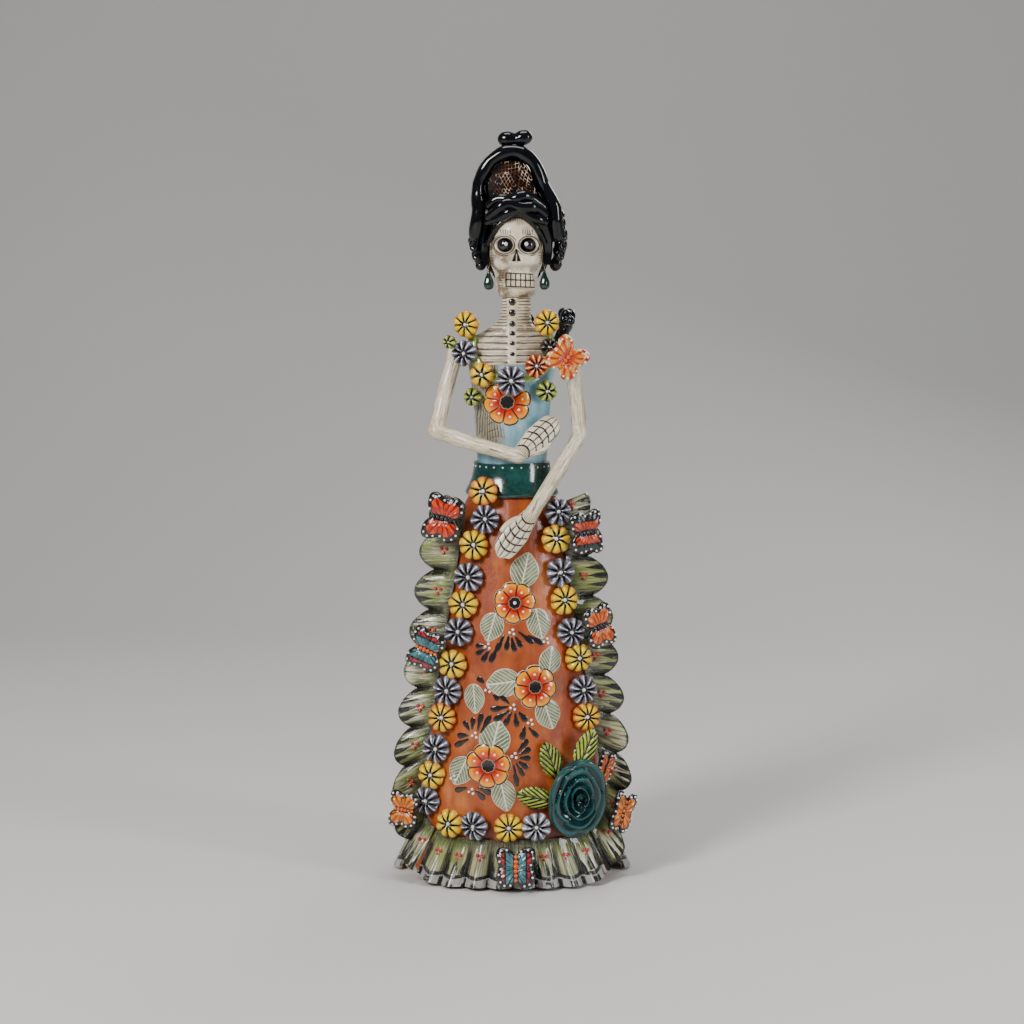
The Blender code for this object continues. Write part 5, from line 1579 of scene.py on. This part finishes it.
def skull_marks(g):
    """The face's dark painting, its brown stains and the brown painted shade in its recesses and at its
    sides. Local is (x, height, front).
    """
    x, height, front = g.local
    shake = g.times(g.minus(g.noise(95, 2), 0.5), 1.3)
    side = g.size(x)

    def line(value, half_width):
        return g.ease(g.size(value), half_width, half_width * 0.45)

    u = g.math("DIVIDE", g.minus(side, EYE[0]), EYE[2])
    v = g.math("DIVIDE", g.minus(height, EYE[1]), EYE[3])
    off = g.math("SQRT", g.plus(g.math("POWER", u, 2.0), g.math("POWER", v, 2.0)))
    off = g.plus(off, g.times(shake, 0.04))
    socket = g.ease(off, 1.06, 0.96)
    ring = line(g.minus(off, 1.24), 0.105)
    ring_two = g.all(line(g.minus(off, 1.50), 0.085), g.ease(g.noise(120, 1), 0.42, 0.5))
    down = g.math("DIVIDE", g.minus(NOSE_TOP, height), NOSE_TOP - NOSE_BOTTOM)
    half = g.times(down, NOSE_HALF_WIDTH)
    nose = g.all(g.ease(g.minus(side, half), 0.25, -0.2), g.ease(down, 1.04, 0.98), g.ease(down, 0.02, 0.1))
    nose = g.all(nose, g.any(g.ease(side, 0.3, 0.55), g.ease(down, 0.5, 0.3)))
    brows = g.all(
        g.ease(g.stripes(g.plus(x, shake), 0.62), 0.50, 0.8), g.ease(height, 430.8, 431.4),
        g.ease(height, 434.8, 433.6), g.ease(side, 2.8, 3.4), g.ease(side, 12.0, 10.8),
    )
    over = g.minus(x, TEETH_MIDDLE)
    up = g.plus(g.plus(height, g.times(over, 0.05)), g.times(shake, 0.5))
    inside = g.ease(g.size(over), TEETH_HALF_WIDTH + 0.3, TEETH_HALF_WIDTH)
    rows = g.any(*[line(g.minus(up, at), 0.60) for at in (TEETH_TOP, TEETH_LINE, TEETH_BOTTOM)])
    gaps = g.stripes(g.plus(g.plus(over, 3.0 * TOOTH), g.times(shake, 0.5)), 1 / TOOTH)
    gaps = g.all(
        g.ease(gaps, 0.32, 0.16), g.ease(up, TEETH_BOTTOM - 0.3, TEETH_BOTTOM),
        g.ease(up, TEETH_TOP + 0.3, TEETH_TOP),
    )
    teeth = g.all(g.any(rows, gaps), inside)
    jaw = g.all(
        g.ease(g.stripes(g.plus(height, shake), 0.6), 0.6, 0.85), g.ease(x, -12.8, -12.0),
        g.ease(x, -7.2, -8.4),
        g.ease(height, 395.0, 397.0), g.ease(height, 409.5, 407.0),
    )
    crown = g.all(
        g.ease(g.stripes(g.plus(x, shake), 0.7), 0.66, 0.85), g.ease(height, 436.5, 438.0),
        g.ease(side, 7.0, 4.0),
    )
    cheeks = g.all(
        g.ease(g.stripes(g.plus(height, shake), 0.55), 0.72, 0.9), g.ease(side, 13.2, 14.2),
        g.ease(height, 424.0, 418.0),
    )
    scratches = g.all(g.any(cheeks, crown), g.ease(g.noise(130, 1), 0.42, 0.52))
    lines = g.any(socket, ring, ring_two, nose, brows, teeth, jaw, g.times(scratches, 0.8))
    # Painted shade in brown: round the eye sockets, in a band across the cheeks, at the sides of the face,
    # under the chin and towards the hairline.
    face_shade = g.any(
        g.times(g.ease(off, 1.75, 1.1), 0.75), g.ease(side, 13.0, 17.0),
        g.times(g.ease(g.size(g.minus(height, 409.0)), 4.5, 1.0), 0.6),
        g.ease(height, 396.0, 391.5), g.times(g.ease(height, 434.0, 442.0), 0.6),
    )
    stained = g.all(g.ease(x, 4.0, -9.0), g.ease(height, 434.0, 412.0))
    # Brown stains on the lower right of the face and the painted shade above, broken up by noise, plus stray
    # stain patches.
    stain_and_shade = g.all(g.any(face_shade, stained), g.ease(g.noise(130, 4), 0.36, 0.60))
    stain_and_shade = g.any(stain_and_shade, g.times(g.ease(g.noise(60, 5), 0.54, 0.70), 0.6))
    return g.times(stain_and_shade, 0.9), g.all(lines, g.ease(front, 0.05, 0.25))


def build_skull():
    sides, rows = 220, 190
    bottom, top = SKULL[0][0], SKULL[-1][0]
    rings = []
    for i in range(rows + 1):
        height = bottom + (top - bottom) * i / rows
        reach = min(2.2, (height - bottom) * 0.6 + 0.05, (top - height) * 0.6 + 0.05)
        half_width, half_depth, middle = soft_level(SKULL, height, reach)
        ring = []
        for turn in turns(sides):
            x = half_width * math.sin(turn)
            front = ease(math.cos(turn), 0.02, 0.3)
            lift = skull_lift(x, height, front) if front > 0 else 0.0
            point = oval_point(half_width, half_depth, turn, height, middle, lift)
            point.x += HEAD_X
            ring.append((point, (x, height, math.cos(turn))))
        rings.append(ring)
    clay = Clay()
    numbers = [clay.ring(ring) for ring in rings]
    clay.bridge(numbers)
    clay.face(numbers[-1])
    socket_radius, socket_top = 6.2, 408.5
    socket = [clay.ring(head_circle(socket_radius, height, sides)) for height in (bottom, socket_top)]
    clay.bridge([numbers[0], socket[0]])
    clay.bridge([socket[0], socket[1]])
    clay.face(socket[1])
    clay.finish("skull_bone", GLAZE["skull"], "head", "skull")
    eyes = Clay()
    for side in (-1, 1):
        half_width, half_depth, middle = soft_level(SKULL, EYE[1], 2.2)
        x = side * EYE[0]
        y = middle - half_depth * math.sqrt(1 - (x / half_width) ** 2)
        out = Vector((x * 0.35 / half_width, -1, 0)).normalized()
        centre = Vector((HEAD_X + x, y + 2.7, EYE[1]))
        eyes.dome(centre, out, 3.9, 2.3, slot=0, sides=28)
        white = centre + out * 1.75 + Vector((-side * 1.4 if side > 0 else 1.0, 0, 0.6))
        eyes.dome(white, out, 1.6, 0.8, slot=1, sides=18)
    eyes.finish("eyes", [GLAZE["black"], GLAZE["white"]], "head")


def skull_surface(turn, height, lift):
    """A point off the skull: turn is in degrees from the face, positive to the figure's left."""
    half_width, half_depth, middle = level(SKULL, height)
    point = oval_point(half_width, half_depth, math.radians(turn), height, middle, lift)
    return point + Vector((HEAD_X, 0, 0))


HAIR_THICKNESS = 4.5
SHOULDER_HEIGHT = 360.0
NAPE_DROP = 21.0
EARS_CLEAR, NAPE_SLOPE = 0.25, 0.4  # shares of the way from a temple to the nape
HAIRLINE, TEMPLE_RISE, CAP_TOP = 411, 9, 443.5
UPDO_LOW, UPDO_HEIGHT, UPDO_TUCK = 446.0, 41.5, 3
UPDO = (  # height, half width, half depth
    (452, 22.5, 15), (460, 20.5, 14.5), (469, 16.5, 13), (477, 11.5, 10.5), (483, 8.2, 7.5), (487.5, 7.4, 6),
)
UPDO_MIDDLE = 6.0
HAIR_LEAN = ((448, 0), (464, -4), (478, -3.2), (488, -2), (500, -1))  # height, lean in X


def hair_middle(height):
    """The X of the piled hair's middle at a height."""
    return HEAD_X + level(HAIR_LEAN, height)[0]


def build_hair_cap():
    """The hair combed back off the face, in strands that follow the hairline."""
    grid = []
    columns, rows = 150, 40
    for row in range(rows + 1):
        v = row / rows
        ring = []
        for c in range(columns + 1):
            u = c / columns * 2 - 1
            low = HAIRLINE + TEMPLE_RISE * (1 - abs(u)) ** 0.5
            low -= NAPE_DROP * clamp((1 - abs(u) - EARS_CLEAR) / NAPE_SLOPE)
            height = low + (CAP_TOP - low) * v
            turn = 180 + u * (180 - (78 - 34 * v**2))
            strand = 0.7 * abs(math.sin(u * 30 + v * 1.5)) ** 0.6 + 0.5 * wobble((u * 40, v * 8, 0), 0.35)
            point = skull_surface(turn, height, 0.6 + HAIR_THICKNESS / 2 + 1.2 * v**2 + strand)
            ring.append((point, (v * 30, u * 60, 0)))
        grid.append(ring)
    slab(grid, HAIR_THICKNESS, "hair_cap_glazed", GLAZE["hair"], "head", "hair_cap")


def build_updo():
    """The piled hair, its locks twisting up to the bow."""
    sides, rows = 120, 60
    rings = []
    for i in range(rows + 1):
        share = i / rows
        height = UPDO_LOW + UPDO_HEIGHT * share
        half_width, half_depth = soft_level(UPDO, max(height, UPDO[0][0] + 0.5), 1.5)
        tuck = UPDO_TUCK * (1 - ease(height, UPDO_LOW - 1.0, UPDO_LOW + 3.5))
        ring = []
        for turn in turns(sides):
            lock = 1.3 * abs(math.sin(4.5 * turn + share * 5.5)) ** 0.7 * (1 - 0.6 * share)
            lift = (lock - 0.4) * ease(math.cos(turn), 0.95, 0.4) - tuck
            point = oval_point(half_width, half_depth, turn, height, UPDO_MIDDLE, lift)
            point.x += hair_middle(height)
            ring.append((point, (share * 40, turn * 14 + share * 20, 0)))
        rings.append(ring)
    solid(rings, "hair_updo_glazed", GLAZE["hair"], "head", "hair_updo")


def build_comb():
    rows, columns, half_width = 60, 60, 15.5
    low, high, thickness = 455.5, 478.5, 2.4
    grid = []
    for row in range(rows + 1):
        v = row / rows
        height = low + (high - low) * v
        reach = half_width * math.sqrt(1 - (v * 6 / 6.4) ** 2)
        back = UPDO_MIDDLE - level(UPDO, height)[1]
        ring = []
        for c in range(columns + 1):
            u = c / columns * 2 - 1
            point = Vector((hair_middle(height) + u * reach, back - thickness - 2.5 * (1 - u**2), height))
            ring.append((point, (u * reach / half_width, v, 0)))
        grid.append(ring)
    slab(grid, thickness, "comb_etched", GLAZE["comb"], "head", "comb")


def strand_path(stations, steps, side=1):
    points = [blend(stations, i / steps) for i in range(steps + 1)]
    return [Vector((HEAD_X + side * p.x, p.y, p.z)) for p in points]


def build_hair_arch():
    half = (
        (26.6, -1.5, 431), (25.8, -5.5, 440), (24.6, -5, 450), (22.4, -4.5, 460),
        (19, -4.5, 469.5), (14.2, -5.8, 478.5), (6.6, -6.2, 484),
    )
    stations = [(-x, y, z) for x, y, z in half] + [(0, -6.2, 485.5)] + list(reversed(half))
    steps = 200
    path = [blend(stations, i / steps) for i in range(steps + 1)]
    path = [Vector((hair_middle(p.z) + p.x, p.y, p.z)) for p in path]
    radii = [
        (5.4 - 0.5 * math.sin(math.pi * i / steps) ** 2)
        * (1 + 0.05 * math.sin(i * 0.23) + 0.06 * wobble(path[i], 0.1))
        for i in range(steps + 1)
    ]
    clay = Clay()
    clay.tube(path, radii, 40, twist=0.05, strands=2, groove=0.12)
    clay.finish("hair_arch_glazed", GLAZE["hair"], "head", "hair_arch")


def build_front_roll():
    """Three coils that weave over each other above the forehead."""
    clay = Clay()
    coils = (  # half width, drop at the ends, y in front, height, radius, where its wave starts
        (19.0, 7.5, -16.8, 445.8, 3.5, 0.0), (18.5, 6.5, -18.0, 450.4, 3.9, 2.1),
        (18.0, 5.5, -15.6, 455.4, 4.0, 4.2),
    )
    for half, drop, y, height, radius, start in coils:
        steps = 110
        path = []
        for i in range(steps + 1):
            u = i / steps * 2 - 1
            wave = 5.5 * u + start
            spot = Vector((half * u, y + 5.6 * u**2, height - drop * u**2))
            path.append(spot + Vector((HEAD_X, 1.2 * math.sin(wave), 1.3 * math.cos(wave))))
        radii = [
            radius * (1 - 0.25 * abs(i / steps * 2 - 1) ** 3) * (1 + 0.10 * wobble(path[i], 0.13, start))
            for i in range(steps + 1)
        ]
        clay.tube(path, radii, 30)
    for number in range(3):
        path = []
        for i in range(61):
            u = i / 60 * 2 - 1
            turn = u * (60 + number * 2)
            height = 442.9 + 0.4 * number - (15 + 2.0 * number) * abs(u) ** 2.2
            path.append(skull_surface(turn, height, 0.8 + 1.0 * number))
        clay.tube(path, [1.5 - 0.4 * abs(i / 30 - 1) for i in range(61)], 14)
    clay.finish("front_roll_glazed", GLAZE["hair"], "head", "front_roll")


def build_curls(side, name):
    """Looped locks that hang beside the face."""
    inner = 0.0 if side > 0 else -2.2
    stations = ((26.6, 1, 443), (28.6, 3.6, 434), (29.2, 5.0, 425), (28.0, 5.6, 417.5), (26.2, 6, 411))
    steps = 90
    clay = Clay()
    path = strand_path([(x + inner, y, z) for x, y, z in stations], steps, side)
    shares = [i / steps for i in range(steps + 1)]
    radii = [(5.3 - 1.3 * share**2) * (1 + 0.14 * math.sin(share * 20 + side)) for share in shares]
    clay.tube(path, radii, 32, twist=0.18 * side, strands=2, groove=0.2)
    curls = ((29.4, -1.2, 438, 3.2), (30.6, -0.6, 431, 3.1), (30.4, 0.4, 424, 2.8), (28.8, 1.6, 417.6, 2.4))
    for x, y, z, size in curls:
        centre = Vector((HEAD_X + side * (x + inner), y, z))
        loop = [
            centre + Vector((side * 1.5 * math.cos(t), -1.5 * math.sin(t * 0.5), size * math.sin(t)))
            for t in (2 * math.pi * i / 26 for i in range(24))
        ]
        clay.tube(loop, [2.0] * len(loop), 18)
    clay.finish(name + "_glazed", GLAZE["hair"], "head", name)


def build_top_bow():
    """A bow pinched from one roll of clay: two plump lumps and the stem they are tied on."""
    clay = Clay()
    steps = 40
    for side, length, rise in ((-1, 5.4, 0.2), (1, 5.4, 1.4)):
        path, radii = [], []
        for i in range(steps + 1):
            t = i / steps
            path.append(Vector((HEAD_X - 1.0 + side * (1.2 + length * t), -2.2, 493.6 + rise * t)))
            radii.append(4.2 + 1.0 * math.sin(math.pi * (0.05 + 0.65 * t)) ** 1.2)
        clay.tube(path, radii, 32)
    path = [Vector((hair_middle(488) - 0.5, -3.6, 483.8 + 7.0 * i / 16)) for i in range(17)]
    radii = [2.6 + 6.0 * math.sin(math.pi * i / 16) ** 0.45 for i in range(17)]
    clay.tube(path, radii, 44, flat=0.55, across=(0, 1, 0))
    clay.finish("top_bow_glazed", GLAZE["hair"], "head", "top_bow")


EARRING_PIVOT = (18.6, -3.0, 410.2)


def build_earring(side, name):
    x, y, height = HEAD_X + side * EARRING_PIVOT[0], EARRING_PIVOT[1], EARRING_PIVOT[2]
    clay = Clay()
    rings = []
    sides = 40
    profile = (  # radius, drop below the pivot
        (0.35, 2.6), (0.75, 2.9), (0.9, 3.5), (1.1, 4.6), (1.7, 6.2), (2.6, 8.4),
        (3.2, 10.4), (3.4, 12.2), (3.1, 14.0), (2.3, 15.3), (1.1, 15.9), (0.2, 16.0),
    )
    for i in range(60):
        radius, drop = blend([(r, d, 0) for r, d in profile], i / 59)[:2]
        ring = []
        for angle in turns(sides):
            reach = max(radius, 0.1) * (1 + 0.035 * math.cos(5 * angle) * ease(drop, 5, 9))
            point = Vector((x + reach * math.cos(angle), y + reach * math.sin(angle), height - drop))
            ring.append((point, (drop, angle, 0)))
        rings.append(ring)
    clay.loft(rings)
    loop = []
    for i in range(22):
        angle = 2 * math.pi * i / 21
        loop.append(Vector((x, y + 1.25 * math.sin(angle), height - 1.2 + 1.45 * math.cos(angle))))
    clay.tube(loop, [0.32] * len(loop), 10, slot=1, across=(1, 0, 0))
    clay.finish(name + "_glazed", [GLAZE["dark_green"], GLAZE["wire"]], name, name)
    hook = Clay()
    hairpin = ((0, 2.6), (-0.9, 1.4), (-0.9, 0.3), (0, -0.35), (0.9, 0.3), (0.9, 1.4), (0, 2.6))
    bend = [(x + aside, y, height + up) for aside, up in hairpin]
    hook.tube([blend(bend, i / 30) for i in range(31)], [0.3] * 31, 10, across=(0, 1, 0))
    hook.finish(name + "_hook", GLAZE["wire"], "head")


def build_shoulder_braid():
    """A three-strand plait that comes up the back and over the left shoulder."""
    stations = (
        (6, 22, 384), (14, 24, 366), (22, 25, 350), (31, 21, 358),
        (35.5, 13, 371), (36.5, 3, 378), (37, -6.5, 373.5),
    )
    steps = 220
    clay = Clay()
    middle = [blend(stations, i / steps) for i in range(steps + 1)]
    for strand in range(3):
        path = []
        for i, point in enumerate(middle):
            ahead = (middle[min(i + 1, steps)] - middle[max(i - 1, 0)]).normalized()
            helper = Vector((0.3, 0.2, 1)) if abs(ahead.z) < 0.8 else Vector((1, 0, 0))
            side = ahead.cross(helper).normalized()
            other = side.cross(ahead)
            phase = i / steps * 2 * math.pi * 2.7 + strand * 2 * math.pi / 3
            path.append(point + side * 2.6 * math.sin(phase) + other * 1.2 * math.sin(2 * phase))
        radii = [3.3 - 0.9 * ease(i / steps, 0.88, 1.0) for i in range(steps + 1)]
        clay.tube(path, radii, 24)
    clay.finish("shoulder_braid_glazed", GLAZE["hair"], "root", "shoulder_braid")


# ---------------------------------------------------------------- putting it together
FLOWER_TONES = {  # petals, their tips (where darker, partly painted shade), the flecks on their ridges, how far out the star reaches
    "yellow": ((0.84, 0.58, 0.004), (0.74, 0.29, 0.002)),
    "orange": ((0.86, 0.50, 0.01), (0.70, 0.12, 0.002)),
    "red": ((0.50, 0.08, 0.01), (0.42, 0.02, 0.004), (0.84, 0.60, 0.26)),
    "grey": ((0.072, 0.072, 0.110), (0.13, 0.13, 0.175), (0.66, 0.66, 0.72)),
    "silver": ((0.15, 0.15, 0.20), (0.26, 0.26, 0.31), (0.80, 0.80, 0.84)),
    "black": ((0.012, 0.011, 0.011), (0.03, 0.026, 0.022), (0.12, 0.11, 0.09)),
    "bud": ((0.24, 0.30, 0.03), (0.12, 0.17, 0.015), (0.60, 0.62, 0.16), 1.25),
}
WING_TONES = {  # cells, ribs, border, the two strips beside the body
    "red": ((0.78, 0.055, 0.001), (0.22, 0.006, 0.002)),
    "orange": ((0.84, 0.18, 0.001), (0.34, 0.016, 0.002)),
    "amber": ((0.84, 0.27, 0.001), (0.36, 0.03, 0.002)),
    "coral": ((0.80, 0.29, 0.002), (0.46, 0.010, 0.003), None),
    "teal": ((0.02, 0.07, 0.07), (0.62, 0.06, 0.012), BLACK, ((0.74, 0.06, 0.002), (0.004, 0.030, 0.030))),
    "turquoise": ((0.05, 0.17, 0.18), (0.30, 0.015, 0.02), BLACK, ((0.06, 0.24, 0.27), (0.42, 0.008, 0.02))),
}


def make_glazes():
    glazes = {
        "terracotta": terracotta_glaze(),
        "clay": bare_clay(),
        "teal": plain_glaze("teal_glaze", (0.002, 0.024, 0.022), (0.012, 0.080, 0.066), 45, 0.16, 0.7),
        "lime": plain_glaze("lime_glaze", (0.16, 0.28, 0.02), (0.42, 0.54, 0.12), 60, 0.22, 0.6),
        "white": plain_glaze("white_slip", (0.78, 0.76, 0.72), (0.92, 0.91, 0.88), 200, 0.22, 0.6),
        "red_dot": plain_glaze("red_slip", (0.36, 0.004, 0.012), (0.60, 0.010, 0.03), 200, 0.2, 0.6),
        "orange_dot": plain_glaze("orange_slip", (0.60, 0.06, 0.004), (0.80, 0.16, 0.012), 200, 0.2, 0.6),
        "black": plain_glaze("black_glaze", (0.002, 0.002, 0.003), (0.008, 0.007, 0.008), 60, 0.08, 0.8),
        "brush": brush_black(),
        "dark_green": plain_glaze(
            "dark_green_glaze", (0.0008, 0.010, 0.007), (0.004, 0.036, 0.024), 90, 0.1, 0.7,
        ),
        "wire": Glaze("wire", roughness=0.3, coat=0.0, metallic=1.0).done((0.35, 0.24, 0.14)),
        "bone": bone_glaze(),
        "chest": bone_glaze("chest_bone_glaze", 0.5, chest_marks),
        "hand": bone_glaze("hand_bone_glaze", 0.0, hand_marks),
        "skull": bone_glaze("skull_bone_glaze", 0.0, skull_marks, (0.12, 0.055, 0.016)),
        "bodice": bodice_glaze(),
        "hair": hair_glaze(),
        "comb": comb_glaze(),
        "rose": rose_glaze(),
        "poppy": poppy_glaze(),
        "grey_leaf": leaf_glaze(
            "grey_leaf_glaze", (0.10, 0.12, 0.065), (0.29, 0.31, 0.19), (0.72, 0.72, 0.56), 6.5,
            (0.66, 0.55, 0.42), 0.24, 0.07,
        ),
        "lime_leaf": leaf_glaze(
            "lime_leaf_glaze", (0.16, 0.25, 0.01), (0.46, 0.52, 0.045), BLACK, LEAF_VEINS, None, 0.6, 0.09,
        ),
        "side_ruffle": ruffle_glaze("side_ruffle_glaze", False),
        "hem_ruffle": ruffle_glaze("hem_ruffle_glaze", True),
    }
    for name, tones in FLOWER_TONES.items():
        glazes[name + "_flower"] = flower_glaze(name + "_flower_glaze", *tones)
    for name, tones in WING_TONES.items():
        glazes[name + "_wing"] = butterfly_glaze(name + "_wing_glaze", *tones)
    return glazes


GLAZE = make_glazes()
DOTS = {"white": Clay(), "red": Clay()}
PAINT = {"poppies": Clay(), "leaves": Clay(), "strokes": Clay()}


def add_floor():
    """A pale floor that curves up into a backdrop."""
    half, depth, rise, bend = 4.0, 2.2, 3.2, 1.2
    profile = [(-4.0, 0.0), (depth - bend, 0.0)]
    for i in range(1, 25):
        turn = math.pi / 2 * i / 24
        profile.append((depth - bend + bend * math.sin(turn), bend - bend * math.cos(turn)))
    profile += [(depth, rise)]
    points = [(x, y, z) for y, z in profile for x in (-half, half)]
    faces = [(2 * i, 2 * i + 1, 2 * i + 3, 2 * i + 2) for i in range(len(profile) - 1)]
    mesh = bpy.data.meshes.new("floor")
    mesh.from_pydata(points, [], faces)
    mesh.shade_smooth()
    pale = Glaze("floor_paint", roughness=0.55, coat=0.0)
    colour = pale.mix(pale.noise(1.5), (0.66, 0.65, 0.63), (0.70, 0.69, 0.67))
    mesh.materials.append(pale.done(colour, strength=0.0))
    floor = bpy.data.objects.new("floor", mesh)
    bpy.context.scene.collection.objects.link(floor)


def main():
    add_camera()
    add_studio()
    add_floor()
    build_skirt()
    build_torso()
    build_waistband()
    build_chest()
    build_neckline_trim()
    build_side_ruffle(-1, "ruffle_right")
    build_side_ruffle(1, "ruffle_left")
    build_front_hem()
    build_back_hem()
    build_paintings()
    build_garlands()
    build_bodice_flowers()
    build_rose()
    build_rose_leaves()
    for butterfly in BUTTERFLIES:
        build_butterfly(*butterfly)
    build_arm("right", RIGHT_ARM)
    build_arm("left", LEFT_ARM)
    build_skull()
    build_hair_cap()
    build_updo()
    build_comb()
    build_hair_arch()
    build_front_roll()
    build_curls(-1, "curls_right")
    build_curls(1, "curls_left")
    build_top_bow()
    build_earring(-1, "earring_right")
    build_earring(1, "earring_left")
    build_shoulder_braid()
    DOTS["white"].finish("white_slip_dots", GLAZE["white"], "root")
    DOTS["red"].finish("red_slip_dots", GLAZE["red_dot"], "root")


main()
